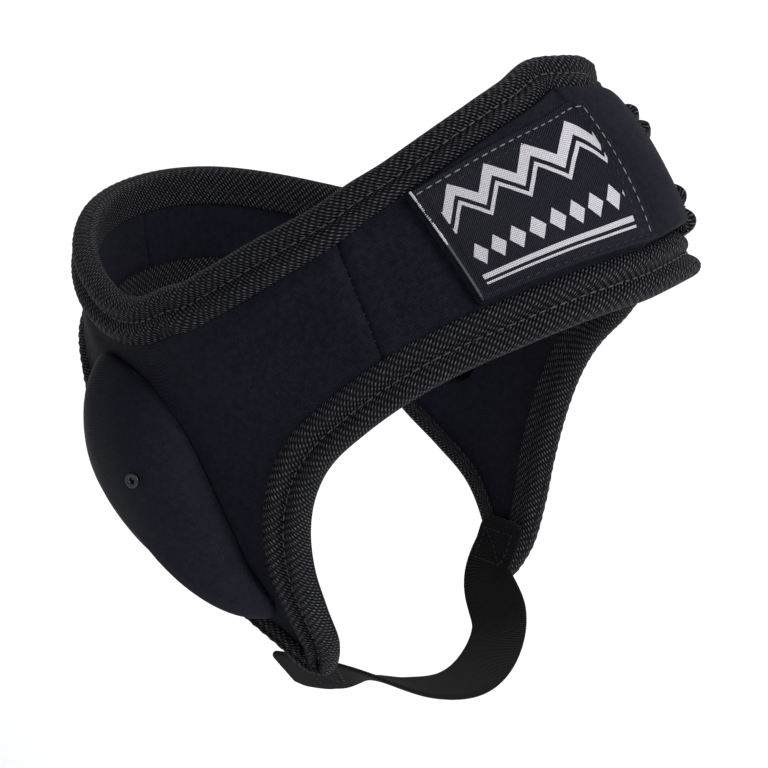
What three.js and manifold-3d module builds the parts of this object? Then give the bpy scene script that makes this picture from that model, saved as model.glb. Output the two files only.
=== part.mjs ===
import * as THREE from 'three';
import { mergeVertices } from 'three/addons/utils/BufferGeometryUtils.js';
import Module from 'manifold-3d';

// Wrestling ear guard in the form that it has when worn, in millimetres
// Up is +Z, the forehead faces -Y and the wearer's right ear is at -X
// The origin is the middle of the head, level with the ear canals

// Head form that the middle of the neoprene wall follows
const FORM_HALF_WIDTH = 75.5;
const FORM_FRONT_LENGTH = 105;
const FORM_BACK_LENGTH = 96;
const FORM_RISE = 91.5;
const FORM_DROP = 146;
const FORM_NAPE_DROP = 78;
const FORM_CENTRE_HEIGHT = 35;

// Neoprene walls and the gaps that sewn layers keep
const WALL = 4;
const LAYER_GAP = 0.35;
const PANEL_INSET = 3.8;
const SEAM_HALF_GAP = 0.02;

// Rows of the band, counted from the middle of the forehead to the nape
const NAPE_ROW = 25;
const SEAM_ROW = 7;
const FRONT_PANEL_END = -3.6;
const MOUTH_ROW = 3.15;
const TONGUE_ROW = 1.7;

// Narrow left front end, which lies on the front panel and tucks under the strap
const CLOSING_LIFT = 5.35;
const LIFT_START_X = 70;
const LIFT_FULL_X = 42;
const LIFT_LOW_Z = 20;
const LIFT_HIGH_Z = 55;
const CLOSING_NARROWING = 0.2;
const TONGUE_LOW = 3.1;
const TONGUE_HIGH = 5;

// Left end of the front panel, whose taped edges curl away from the head
const CURL_DEPTH = 14.5;
const CURL_LAST_ROW = 3;
const CURL_HEIGHTS = [ // height of each edge over the form, by distance from the middle plane
  { x: -26, upper: 0, lower: 0 },
  { x: -12, upper: 1.3, lower: 0 },
  { x: 0, upper: 3, lower: 0 },
  { x: 6, upper: 4, lower: 0.3 },
  { x: 13, upper: 5, lower: 1 },
  { x: 20, upper: 5.4, lower: 1.9 },
  { x: 28, upper: 4.6, lower: 2.7 },
  { x: 33, upper: 2.8, lower: 3 },
  { x: 39, upper: 1, lower: 3 },
  { x: 44, upper: 0.6, lower: 3 },
];

// Front strap and label
const STRAP_THICKNESS = 2.5;
const STRAP_INSET = 15.4;
const STRAP_LEFT = { topRow: 4.95, bottomRow: 4.55 };
const STRAP_END = 2.95;
const STRAP_COLUMNS = 17;
const STRAP_RAISED = TONGUE_HIGH + LAYER_GAP;
const LABEL_THICKNESS = 0.8;
const STRAP_TOP_SHARE = -0.07;
const LABEL_LEFT = { topRow: 4.85, topShare: -0.06, bottomRow: 4.45, bottomShare: 0.97 };
const LABEL_RIGHT = { topRow: -0.55, topShare: 0.09, bottomRow: -0.25, bottomShare: 0.985 };
const LABEL_COLUMNS = 11;

// Ear cups, ear openings and vent eyelets
const CUP_HEIGHT = 16.8;
const CUP_WALL = 2.4;
const CUP_RINGS = 6;
const CUP_SPOKES = 24;
const CUP_CENTRE = { turn: 96, climb: -21.5 };
const EAR_OPENING = { y: 14, z: -8, halfLength: 17, halfHeight: 10.5, tilt: -0.5 };
const EYELET_SPOKE = 0.225;
const EYELET_RING = 0.46;
const EYELET_OUTER = 1.5;
const EYELET_BORE = 0.85;
const EYELET_FLANGE = 2.3;

// Chin strap
const CHIN_WIDTH = 20;
const CHIN_THICKNESS = 1.5;
const CHIN_FROM_FORM = 4.25;

// Outer edges of the band on one side, row by row from the forehead to the nape
// A turn goes round the head from the front and a climb goes up from the form's middle, in degrees
const EDGE_ROWS = [
  { upperTurn: 0, upperClimb: 69.9, lowerTurn: 0, lowerClimb: 24.6 },
  { upperTurn: 24.4, upperClimb: 66.8, lowerTurn: 10, lowerClimb: 24.3 },
  { upperTurn: 43.1, upperClimb: 61.3, lowerTurn: 18.9, lowerClimb: 23.1 },
  { upperTurn: 53.7, upperClimb: 55.7, lowerTurn: 27.9, lowerClimb: 20.6 },
  { upperTurn: 61.1, upperClimb: 50.2, lowerTurn: 34.9, lowerClimb: 17.7 },
  { upperTurn: 66.9, upperClimb: 44.9, lowerTurn: 41.4, lowerClimb: 14.3 },
  { upperTurn: 72.5, upperClimb: 39.5, lowerTurn: 48, lowerClimb: 9.6 },
  { upperTurn: 76.9, upperClimb: 34.1, lowerTurn: 53.9, lowerClimb: 3.8 },
  { upperTurn: 82, upperClimb: 28.5, lowerTurn: 59.4, lowerClimb: -2.3 },
  { upperTurn: 87.1, upperClimb: 22.7, lowerTurn: 64.1, lowerClimb: -7.7 },
  { upperTurn: 91.8, upperClimb: 17, lowerTurn: 65.9, lowerClimb: -12.7 },
  { upperTurn: 95.5, upperClimb: 12.9, lowerTurn: 65.7, lowerClimb: -18.3 },
  { upperTurn: 98.6, upperClimb: 9.5, lowerTurn: 63.4, lowerClimb: -24.4 },
  { upperTurn: 101.7, upperClimb: 7.3, lowerTurn: 59.4, lowerClimb: -30.4 },
  { upperTurn: 104.1, upperClimb: 5.3, lowerTurn: 54.5, lowerClimb: -37.2 },
  { upperTurn: 106.3, upperClimb: 3.3, lowerTurn: 54.2, lowerClimb: -42.9 },
  { upperTurn: 109.1, upperClimb: 1.3, lowerTurn: 60.3, lowerClimb: -43.4 },
  { upperTurn: 112.8, upperClimb: -0.3, lowerTurn: 69.2, lowerClimb: -39.2 },
  { upperTurn: 117.4, upperClimb: -1, lowerTurn: 80.4, lowerClimb: -34.8 },
  { upperTurn: 123.8, upperClimb: -1.3, lowerTurn: 91.5, lowerClimb: -32.2 },
  { upperTurn: 130.6, upperClimb: -1.3, lowerTurn: 102.6, lowerClimb: -29.6 },
  { upperTurn: 138.2, upperClimb: -1.1, lowerTurn: 112.8, lowerClimb: -25.7 },
  { upperTurn: 147, upperClimb: -0.8, lowerTurn: 124.2, lowerClimb: -21.1 },
  { upperTurn: 157, upperClimb: -0.5, lowerTurn: 139.4, lowerClimb: -18.9 },
  { upperTurn: 167.7, upperClimb: -0.4, lowerTurn: 158.5, lowerClimb: -18.3 },
  { upperTurn: 180, upperClimb: -0.4, lowerTurn: 180, lowerClimb: -18.3 },
];

// Outline of an ear cup where it meets the panel, round from its rear upper end along the front crease
const CUP_OUTLINE = [
  { turn: 117, climb: -9.2 },
  { turn: 109, climb: -7.9 },
  { turn: 101.5, climb: -8.2 },
  { turn: 95.5, climb: -9.8 },
  { turn: 89.5, climb: -12.8 },
  { turn: 84.5, climb: -17.4 },
  { turn: 80.3, climb: -21.7 },
  { turn: 75.8, climb: -26.6 },
  { turn: 70, climb: -31 },
  { turn: 69.6, climb: -33.4 },
  { turn: 79.7, climb: -30.7 },
  { turn: 90.7, climb: -28.3 },
  { turn: 102, climb: -24.6 },
  { turn: 110.8, climb: -20.3 },
  { turn: 117.8, climb: -14.7 },
];

// Section of the edge tape: inset goes in from the outer edge, rise goes out from the wall's middle
const TAPE_SECTION = [
  { inset: 0, rise: 0.4 },
  { inset: 1, rise: 3 },
  { inset: 3.8, rise: 4.2 },
  { inset: 7.5, rise: 3 },
  { inset: 11.2, rise: 4.1 },
  { inset: 14.3, rise: 2.6 },
  { inset: 3.3, rise: 2.5 },
  { inset: 3.3, rise: -2.5 },
  { inset: 12, rise: -2.5 },
  { inset: 12, rise: -3.05 },
  { inset: 1, rise: -2.7 },
];

// How much of the tape's depth shows on the upper edge, where it narrows beside the label
const UPPER_TAPE_DEPTHS = [
  { row: 0, depth: 0.78 },
  { row: 5, depth: 0.78 },
  { row: 9, depth: 1 },
  { row: 25, depth: 1 },
];

// The same on the lower edge, where it narrows at the tip and under the cup
const LOWER_TAPE_DEPTHS = [
  { row: 0, depth: 1 },
  { row: 12, depth: 1 },
  { row: 15, depth: 0.5 },
  { row: 17, depth: 0.35 },
  { row: 21.5, depth: 0.35 },
  { row: 24, depth: 1 },
  { row: 25, depth: 1 },
];

// Chin strap from its free end, past the right tip and under the chin, up inside the left tip
// Each row has its middle and the direction that its outer face looks in
const CHIN_ROUTE = [
  { x: -38.8, y: -22.6, z: -78.9, outX: -0.77, outY: 0, outZ: -0.64 },
  { x: -38, y: -38.6, z: -72.8, outX: -0.77, outY: 0, outZ: -0.64 },
  { x: -32, y: -50.5, z: -70.2, outX: -0.65, outY: -0.03, outZ: -0.7 },
  { x: -18, y: -61, z: -74, outX: -0.37, outY: -0.1, outZ: -0.82 },
  { x: 0, y: -65, z: -77, outX: 0, outY: -0.2, outZ: -0.98 },
  { x: 18, y: -62, z: -76, outX: 0.35, outY: -0.22, outZ: -0.9 },
  { x: 33, y: -54, z: -71.5, outX: 0.65, outY: -0.28, outZ: -0.7 },
];

// The strap's last rows lie on the inner side of the left tip
const CHIN_LEFT_ROWS = [
  { turn: 57, climb: -43.8, outX: 0.84, outY: -0.36, outZ: -0.4 },
  { turn: 60.8, climb: -39.2, outX: 0.88, outY: -0.32, outZ: -0.3 },
  { turn: 63.5, climb: -35.4, outX: 0.9, outY: -0.3, outZ: -0.28 },
];

const wasm = await Module();
wasm.setup();

// The form's half length and half height towards a point: it is shorter behind and under the nape
function formSizes(point) {
  if (point.z >= FORM_CENTRE_HEIGHT) {
    return { length: point.y < 0 ? FORM_FRONT_LENGTH : FORM_BACK_LENGTH, height: FORM_RISE };
  }
  const backward = Math.max(0, point.y) / Math.hypot(point.x, point.y);
  const height = THREE.MathUtils.lerp(FORM_DROP, FORM_NAPE_DROP, backward ** 2);
  return { length: point.y < 0 ? FORM_FRONT_LENGTH : FORM_BACK_LENGTH, height };
}

// A point moved onto the head form, straight out from the form's middle
function onForm(point) {
  const { length, height } = formSizes(point);
  const above = point.z - FORM_CENTRE_HEIGHT;
  const reach = Math.hypot(point.x / FORM_HALF_WIDTH, point.y / length, above / height);
  return new THREE.Vector3(point.x / reach, point.y / reach, FORM_CENTRE_HEIGHT + above / reach);
}

// The outward direction of the head form at a point
function outward(point) {
  const { length, height } = formSizes(point);
  return new THREE.Vector3(
    point.x / FORM_HALF_WIDTH ** 2,
    point.y / length ** 2,
    (point.z - FORM_CENTRE_HEIGHT) / height ** 2,
  ).normalize();
}

// A point of the head form from its turn and climb, mirrored to the left side by side = 1
function formPoint(turn, climb, side) {
  const round = THREE.MathUtils.degToRad(turn);
  const up = THREE.MathUtils.degToRad(climb);
  const length = turn < 90 ? FORM_FRONT_LENGTH : FORM_BACK_LENGTH;
  return onForm({
    x: side * FORM_HALF_WIDTH * Math.sin(round) * Math.cos(up),
    y: -length * Math.cos(round) * Math.cos(up),
    z: FORM_CENTRE_HEIGHT + Math.sin(up) * (climb < 0 ? FORM_DROP : FORM_RISE),
  });
}

// Closed edge curves: down the right side to the nape, and back up the left side
function edgeCurve(turnName, climbName) {
  const points = EDGE_ROWS.map((row) => formPoint(row[turnName], row[climbName], -1));
  for (let row = NAPE_ROW - 1; row > 0; row -= 1) {
    points.push(formPoint(EDGE_ROWS[row][turnName], EDGE_ROWS[row][climbName], 1));
  }
  return new THREE.CatmullRomCurve3(points, true, 'centripetal');
}

const UPPER_EDGE = edgeCurve('upperTurn', 'upperClimb');
const LOWER_EDGE = edgeCurve('lowerTurn', 'lowerClimb');

// Station along the band: rows on the right side, and past the nape the left side's rows backwards
const leftStation = (row) => 2 * NAPE_ROW - row;
const leftRow = (station) => 2 * NAPE_ROW - station;

// How far the closing band has narrowed towards its front end, from 0 to 1
function narrowing(station) {
  return station <= NAPE_ROW ? 0 : 1 - THREE.MathUtils.smoothstep(leftRow(station), 5, 8.2);
}

// How far the closing band stands off the form at a point, where it climbs over the front panel
function lift(station, point) {
  if (station <= NAPE_ROW || point.y > 0) {
    return 0;
  }
  const forward = 1 - THREE.MathUtils.smoothstep(point.x, LIFT_FULL_X, LIFT_START_X);
  return CLOSING_LIFT * forward * THREE.MathUtils.smoothstep(point.z, LIFT_LOW_Z, LIFT_HIGH_Z);
}

// How far the front panel's left end curls outwards at a point that lies inset from an edge
function curl(curve, station, point, inset) {
  if (station > CURL_LAST_ROW) {
    return 0;
  }
  const edge = curve === UPPER_EDGE ? 'upper' : 'lower';
  const last = CURL_HEIGHTS.length - 1;
  const found = CURL_HEIGHTS.findIndex((row) => row.x > point.x);
  const next = THREE.MathUtils.clamp(found < 0 ? last : found, 1, last);
  const before = CURL_HEIGHTS[next - 1];
  const after = CURL_HEIGHTS[next];
  const share = THREE.MathUtils.clamp((point.x - before.x) / (after.x - before.x), 0, 1);
  const height = THREE.MathUtils.lerp(before[edge], after[edge], share);
  return height * (1 - THREE.MathUtils.smoothstep(inset, 2, CURL_DEPTH));
}

// Height of the wall's middle over the form at a point that lies inset from the nearer edge
function standOff(curve, station, point, inset) {
  return lift(station, point) + curl(curve, station, point, inset);
}

function curveAt(curve, station) {
  const rows = 2 * NAPE_ROW;
  return onForm(curve.getPoint(((station + rows) % rows) / rows));
}

// The band's outer edge at a station, drawn in where the closing band is narrower
function edgeAt(curve, station) {
  const here = curveAt(curve, station);
  const share = CLOSING_NARROWING * narrowing(station);
  if (share === 0) {
    return here;
  }
  const opposite = curveAt(curve === UPPER_EDGE ? LOWER_EDGE : UPPER_EDGE, station);
  return onForm(here.lerp(opposite, share));
}

// A point of the form, inset square from an edge
function fromEdge(curve, station, inset) {
  const here = edgeAt(curve, station);
  const ahead = edgeAt(curve, station + 0.05).sub(edgeAt(curve, station - 0.05));
  const inwards = new THREE.Vector3().crossVectors(outward(here), ahead).normalize();
  inwards.multiplyScalar(curve === UPPER_EDGE ? inset : -inset);
  return onForm(here.add(inwards));
}

// A point near an edge, with its rise over the wall's middle
function nearEdge(curve, station, inset, rise) {
  const moved = fromEdge(curve, station, inset);
  return moved.addScaledVector(outward(moved), rise + standOff(curve, station, moved, inset));
}

// A point across the band, from the upper edge at 0 to the lower edge at 1
function acrossBand(station, share, inset, rise) {
  const upper = fromEdge(UPPER_EDGE, station, inset);
  const lower = fromEdge(LOWER_EDGE, station, inset);
  const width = upper.distanceTo(lower);
  const middle = onForm(upper.lerp(lower, share));
  const depth = inset + Math.min(share, 1 - share) * width;
  const nearer = share < 0.5 ? UPPER_EDGE : LOWER_EDGE;
  return middle.addScaledVector(outward(middle), rise + standOff(nearer, station, middle, depth));
}

function material(colour, roughness) {
  return new THREE.MeshStandardMaterial({ color: colour, roughness, metalness: 0 });
}

const NEOPRENE = material(0x15161a, 0.82);
const TAPE = material(0x121215, 0.7);
const CUP = material(0x16171c, 0.75);
const LABEL = material(0x17171a, 0.5);
const WEBBING = material(0x0d0d0f, 0.9);
const EYELET = material(0x0a0a0b, 0.35);

const group = new THREE.Group();

// Geometry from points and triangles, turned so that its faces look outwards
function closedGeometry(points, triangles) {
  let volume = 0;
  for (const [a, b, c] of triangles) {
    volume += points[a].dot(new THREE.Vector3().crossVectors(points[b], points[c]));
  }
  const faces = volume < 0 ? triangles.map(([a, b, c]) => [a, c, b]) : triangles;
  const geometry = new THREE.BufferGeometry();
  const positions = new Float32Array(points.flatMap((point) => [point.x, point.y, point.z]));
  geometry.setAttribute('position', new THREE.BufferAttribute(positions, 3));
  geometry.setIndex(faces.flat());
  return geometry;
}

function addMesh(name, geometry, finish) {
  const mesh = new THREE.Mesh(geometry, finish);
  mesh.name = name;
  group.add(mesh);
}

// A curved wall from two grids of points, closed along its four borders
function wallGeometry(columns, rows, place) {
  const points = [];
  const triangles = [];
  const at = (face, column, row) => (face * columns.length + column) * rows.length + row;
  for (const face of [0, 1]) {
    for (const column of columns) {
      for (const row of rows) {
        points.push(place(column, row, face));
      }
    }
  }
  for (let i = 0; i + 1 < columns.length; i += 1) {
    for (let j = 0; j + 1 < rows.length; j += 1) {
      const rising = points[at(1, i, j)].distanceTo(points[at(1, i + 1, j + 1)]);
      const falling = points[at(1, i + 1, j)].distanceTo(points[at(1, i, j + 1)]);
      for (const face of [0, 1]) {
        const a = at(face, i, j);
        const b = at(face, i + 1, j);
        const c = at(face, i + 1, j + 1);
        const d = at(face, i, j + 1);
        const halves = rising < falling ? [[a, b, c], [a, c, d]] : [[a, b, d], [b, c, d]];
        triangles.push(...(face ? halves : halves.map(([p, q, r]) => [p, r, q])));
      }
    }
  }
  const border = (first, second) => {
    triangles.push([first[0], first[1], second[1]], [first[0], second[1], second[0]]);
  };
  for (let i = 0; i + 1 < columns.length; i += 1) {
    const last = rows.length - 1;
    border([at(0, i, 0), at(0, i + 1, 0)], [at(1, i, 0), at(1, i + 1, 0)]);
    border([at(0, i + 1, last), at(0, i, last)], [at(1, i + 1, last), at(1, i, last)]);
  }
  for (let j = 0; j + 1 < rows.length; j += 1) {
    const last = columns.length - 1;
    border([at(0, 0, j + 1), at(0, 0, j)], [at(1, 0, j + 1), at(1, 0, j)]);
    border([at(0, last, j), at(0, last, j + 1)], [at(1, last, j), at(1, last, j + 1)]);
  }
  return closedGeometry(points, triangles);
}

// Stations from start to end on every half row, with both ends kept
function stations(start, end) {
  const list = [start];
  for (let half = Math.floor(start * 2) + 1; half / 2 < end - 0.1; half += 1) {
    if (half / 2 > start + 0.1) {
      list.push(half / 2);
    }
  }
  list.push(end);
  return list;
}

const evenShares = (count) => Array.from({ length: count + 1 }, (_, index) => index / count);

function panelGeometry(start, end) {
  return wallGeometry(stations(start, end), evenShares(7), (station, share, face) => (
    acrossBand(station, share, PANEL_INSET, (face - 0.5) * WALL)
  ));
}

// Tape depth at a station, between the rows of its edge's table
function tapeDepth(curve, station) {
  const table = curve === UPPER_EDGE ? UPPER_TAPE_DEPTHS : LOWER_TAPE_DEPTHS;
  const row = station <= NAPE_ROW ? Math.abs(station) : leftRow(station);
  const next = Math.max(1, table.findIndex((entry) => entry.row >= row));
  const [from, to] = [table[next - 1], table[next]];
  return THREE.MathUtils.mapLinear(row, from.row, to.row, from.depth, to.depth);
}

// Edge tape folded over the neoprene, from the front panel's end round the head to the strap's mouth
function tapeGeometry(curve) {
  const along = stations(FRONT_PANEL_END, leftStation(MOUTH_ROW));
  const count = TAPE_SECTION.length;
  const points = along.flatMap((station) => TAPE_SECTION.map(({ inset, rise }) => {
    const covered = Math.max(0, inset - 3.3);
    return nearEdge(curve, station, inset - covered * (1 - tapeDepth(curve, station)), rise);
  }));
  const triangles = [];
  for (let i = 0; i + 1 < along.length; i += 1) {
    for (let j = 0; j < count; j += 1) {
      const [a, b] = [i * count + j, i * count + ((j + 1) % count)];
      triangles.push([a, b, b + count], [a, b + count, a + count]);
    }
  }
  const outline = TAPE_SECTION.map(({ inset, rise }) => new THREE.Vector2(inset, rise));
  const last = (along.length - 1) * count;
  for (const [a, b, c] of THREE.ShapeUtils.triangulateShape(outline, [])) {
    const turned = THREE.ShapeUtils.isClockWise([outline[a], outline[b], outline[c]]);
    const [p, q, r] = turned ? [a, c, b] : [a, b, c];
    triangles.push([p, q, r], [last + p, last + r, last + q]);
  }
  return closedGeometry(points, triangles);
}

function toSolid(geometry) {
  const bare = geometry.clone();
  bare.deleteAttribute('normal');
  bare.deleteAttribute('uv');
  const merged = mergeVertices(bare, 1e-4);
  const vertProperties = new Float32Array(merged.attributes.position.array);
  const triVerts = new Uint32Array(merged.index.array);
  return new wasm.Manifold(new wasm.Mesh({ numProp: 3, vertProperties, triVerts }));
}

function fromSolid(solid) {
  const mesh = solid.getMesh();
  const geometry = new THREE.BufferGeometry();
  geometry.setAttribute('position', new THREE.BufferAttribute(mesh.vertProperties, 3));
  geometry.setIndex(new THREE.BufferAttribute(mesh.triVerts, 1));
  return geometry;
}

// Oval bar along X that opens a side panel over the ear
function earBar(side) {
  const oval = new THREE.Shape();
  oval.absellipse(0, 0, EAR_OPENING.halfLength, EAR_OPENING.halfHeight, 0, 2 * Math.PI, false, 0);
  const bar = new THREE.ExtrudeGeometry(oval, { depth: 60, bevelEnabled: false, curveSegments: 14 });
  bar.rotateZ(-EAR_OPENING.tilt);
  bar.applyMatrix4(new THREE.Matrix4().makeBasis(
    new THREE.Vector3(0, 1, 0),
    new THREE.Vector3(0, 0, 1),
    new THREE.Vector3(1, 0, 0),
  ));
  bar.translate(side < 0 ? -110 : 50, EAR_OPENING.y, EAR_OPENING.z);
  return toSolid(bar);
}

// Smooth rise of an ear cup from its outline at ring 1 to its top at ring 0
const cupRise = (ring) => (1 - ring ** 2.6) ** 0.7;

function cupOutline(side) {
  const points = CUP_OUTLINE.map(({ turn, climb }) => formPoint(turn, climb, side));
  return new THREE.CatmullRomCurve3(points, true, 'centripetal');
}

function cupPoint(outline, side, ring, spoke, height) {
  const centre = formPoint(CUP_CENTRE.turn, CUP_CENTRE.climb, side);
  const rim = outline.getPoint(spoke % 1);
  const base = onForm(centre.lerp(rim, ring));
  return base.addScaledVector(outward(base), height);
}

// Hollow dome with an open underside that stands on the side panel
function cupGeometry(side) {
  const outline = cupOutline(side);
  const base = WALL / 2 + LAYER_GAP;
  const shells = [
    { rim: 1, top: CUP_HEIGHT, foot: base },
    { rim: 0.93, top: CUP_HEIGHT - CUP_WALL, foot: base },
  ];
  const points = [];
  const triangles = [];
  const ringStart = (shell, ring) => shell * (1 + CUP_RINGS * CUP_SPOKES) + 1 + (ring - 1) * CUP_SPOKES;
  for (const { rim, top, foot } of shells) {
    points.push(cupPoint(outline, side, 0, 0, foot + top));
    for (let ring = 1; ring <= CUP_RINGS; ring += 1) {
      for (let spoke = 0; spoke < CUP_SPOKES; spoke += 1) {
        const share = Math.sin((Math.PI / 2) * (ring / CUP_RINGS));
        const height = foot + top * cupRise(share);
        points.push(cupPoint(outline, side, share * rim, spoke / CUP_SPOKES, height));
      }
    }
  }
  for (const shell of [0, 1]) {
    const top = shell * (1 + CUP_RINGS * CUP_SPOKES);
    for (let spoke = 0; spoke < CUP_SPOKES; spoke += 1) {
      const next = (spoke + 1) % CUP_SPOKES;
      const faces = [[top, ringStart(shell, 1) + spoke, ringStart(shell, 1) + next]];
      for (let ring = 1; ring < CUP_RINGS; ring += 1) {
        const [a, b] = [ringStart(shell, ring) + spoke, ringStart(shell, ring) + next];
        const [c, d] = [ringStart(shell, ring + 1) + spoke, ringStart(shell, ring + 1) + next];
        faces.push([a, c, d], [a, d, b]);
      }
      triangles.push(...(shell ? faces.map(([a, b, c]) => [a, c, b]) : faces));
    }
  }
  for (let spoke = 0; spoke < CUP_SPOKES; spoke += 1) {
    const next = (spoke + 1) % CUP_SPOKES;
    const [outer, inner] = [ringStart(0, CUP_RINGS), ringStart(1, CUP_RINGS)];
    triangles.push(
      [outer + spoke, inner + spoke, inner + next],
      [outer + spoke, inner + next, outer + next],
    );
  }
  return closedGeometry(points, triangles);
}

// Where the vent eyelet stands on its cup, and the matrix that turns +Z outwards there
function eyeletPlace(side) {
  const outline = cupOutline(side);
  const height = (ring) => WALL / 2 + LAYER_GAP + CUP_HEIGHT * cupRise(ring);
  const at = (ring, spoke) => cupPoint(outline, side, ring, spoke, height(ring));
  const middle = at(EYELET_RING, EYELET_SPOKE);
  const along = at(EYELET_RING + 0.04, EYELET_SPOKE).sub(middle);
  const round = at(EYELET_RING, EYELET_SPOKE + 0.04).sub(middle);
  const out = new THREE.Vector3().crossVectors(along, round).normalize();
  if (out.dot(outward(middle)) < 0) {
    out.negate();
  }
  const turn = new THREE.Quaternion().setFromUnitVectors(new THREE.Vector3(0, 0, 1), out);
  return new THREE.Matrix4().compose(middle, turn, new THREE.Vector3(1, 1, 1));
}

function eyeletGeometry(side) {
  const profile = [
    [EYELET_BORE, -CUP_WALL - 0.3],
    [EYELET_OUTER, -CUP_WALL - 0.3],
    [EYELET_OUTER, 0.3],
    [EYELET_FLANGE, 0.3],
    [EYELET_FLANGE - 0.3, 0.9],
    [EYELET_BORE, 0.9],
    [EYELET_BORE, -CUP_WALL - 0.3],
  ].map(([radius, height]) => new THREE.Vector2(radius, height));
  const ring = new THREE.LatheGeometry(profile, 16);
  ring.rotateX(Math.PI / 2);
  ring.applyMatrix4(eyeletPlace(side));
  return fromSolid(toSolid(ring));
}

function ventBar(side) {
  const bar = new THREE.CylinderGeometry(EYELET_OUTER + 0.3, EYELET_OUTER + 0.3, 16, 16);
  bar.rotateX(Math.PI / 2);
  bar.applyMatrix4(eyeletPlace(side));
  return toSolid(bar);
}

// Height of the front strap's underside: flat on the panel, then raised over the tucked tongue
function strapFoot(row) {
  const raised = THREE.MathUtils.smoothstep(-row, -1.3, 1.4);
  return THREE.MathUtils.lerp(WALL / 2 + LAYER_GAP, STRAP_RAISED, raised);
}

function strapGeometry() {
  return wallGeometry(evenShares(STRAP_COLUMNS), evenShares(6), (along, down, face) => {
    const left = THREE.MathUtils.lerp(STRAP_LEFT.topRow, STRAP_LEFT.bottomRow, down);
    const row = THREE.MathUtils.lerp(-STRAP_END, left, along);
    const share = THREE.MathUtils.lerp(STRAP_TOP_SHARE, 1, down);
    return acrossBand(row, share, STRAP_INSET, strapFoot(row) + face * STRAP_THICKNESS);
  });
}

function labelGeometry() {
  return wallGeometry(evenShares(LABEL_COLUMNS), evenShares(4), (along, down, face) => {
    const between = (name) => THREE.MathUtils.lerp(LABEL_RIGHT[name], LABEL_LEFT[name], along);
    const row = THREE.MathUtils.lerp(between('topRow'), between('bottomRow'), down);
    const share = THREE.MathUtils.lerp(between('topShare'), between('bottomShare'), down);
    const foot = strapFoot(row) + STRAP_THICKNESS + LAYER_GAP;
    return acrossBand(row, share, STRAP_INSET, foot + face * LABEL_THICKNESS);
  });
}

// Left front end of the band: full wall as far as the strap's mouth, then a thin tongue
function closingGeometry() {
  const mouth = leftStation(MOUTH_ROW);
  const along = [
    ...stations(leftStation(SEAM_ROW) + SEAM_HALF_GAP, mouth - 0.15),
    ...stations(mouth + 0.07, leftStation(TONGUE_ROW)),
  ];
  return wallGeometry(along, evenShares(6), (station, share, face) => {
    if (station > mouth) {
      const rise = face ? TONGUE_HIGH : TONGUE_LOW;
      return acrossBand(station, share, PANEL_INSET + 3, rise - CLOSING_LIFT);
    }
    return acrossBand(station, share, PANEL_INSET, (face - 0.5) * WALL);
  });
}

// Flat chin strap: its faces turn from row to row of its route
function chinGeometry() {
  const places = CHIN_ROUTE.map(({ x, y, z }) => new THREE.Vector3(x, y, z));
  for (const { turn, climb } of CHIN_LEFT_ROWS) {
    const seat = formPoint(turn, climb, 1);
    places.push(seat.addScaledVector(outward(seat), -CHIN_FROM_FORM));
  }
  const turns = [...CHIN_ROUTE, ...CHIN_LEFT_ROWS].map(({ outX, outY, outZ }) => (
    new THREE.Vector3(outX, outY, outZ)
  ));
  const route = new THREE.CatmullRomCurve3(places, false, 'centripetal');
  const facing = new THREE.CatmullRomCurve3(turns, false, 'centripetal');
  return wallGeometry(evenShares(30), [-0.5, 0.5], (part, across, face) => {
    const share = route.getUtoTmapping(part);
    const along = route.getTangent(share);
    const out = facing.getPoint(share);
    const width = new THREE.Vector3().crossVectors(along, out).normalize();
    out.crossVectors(width, along);
    return route.getPoint(share)
      .addScaledVector(width, across * CHIN_WIDTH)
      .addScaledVector(out, (face - 0.5) * CHIN_THICKNESS);
  });
}

const napeGap = 0.01;
const rightPanel = toSolid(panelGeometry(SEAM_ROW + SEAM_HALF_GAP, NAPE_ROW - napeGap));
const leftPanel = toSolid(panelGeometry(NAPE_ROW + napeGap, leftStation(SEAM_ROW) - SEAM_HALF_GAP));

addMesh('side_panel_right', fromSolid(rightPanel.subtract(earBar(-1))), NEOPRENE);
addMesh('side_panel_left', fromSolid(leftPanel.subtract(earBar(1))), NEOPRENE);
addMesh('front_panel', panelGeometry(FRONT_PANEL_END, SEAM_ROW - SEAM_HALF_GAP), NEOPRENE);
addMesh('closing_band', closingGeometry(), NEOPRENE);
addMesh('upper_binding', tapeGeometry(UPPER_EDGE), TAPE);
addMesh('lower_binding', tapeGeometry(LOWER_EDGE), TAPE);
addMesh('ear_cup_right', fromSolid(toSolid(cupGeometry(-1)).subtract(ventBar(-1))), CUP);
addMesh('ear_cup_left', fromSolid(toSolid(cupGeometry(1)).subtract(ventBar(1))), CUP);
addMesh('ear_eyelet_right', eyeletGeometry(-1), EYELET);
addMesh('ear_eyelet_left', eyeletGeometry(1), EYELET);
addMesh('front_strap', strapGeometry(), NEOPRENE);
addMesh('label_patch', labelGeometry(), LABEL);
addMesh('chin_strap', chinGeometry(), WEBBING);

export default group;
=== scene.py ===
"""Looks of a wrestling ear guard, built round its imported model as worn, in metres."""

import logging
import math
from collections.abc import Iterable
from dataclasses import dataclass, field
from enum import Enum

import bmesh
import bpy
import numpy as np
from mathutils import Matrix, Vector

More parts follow.
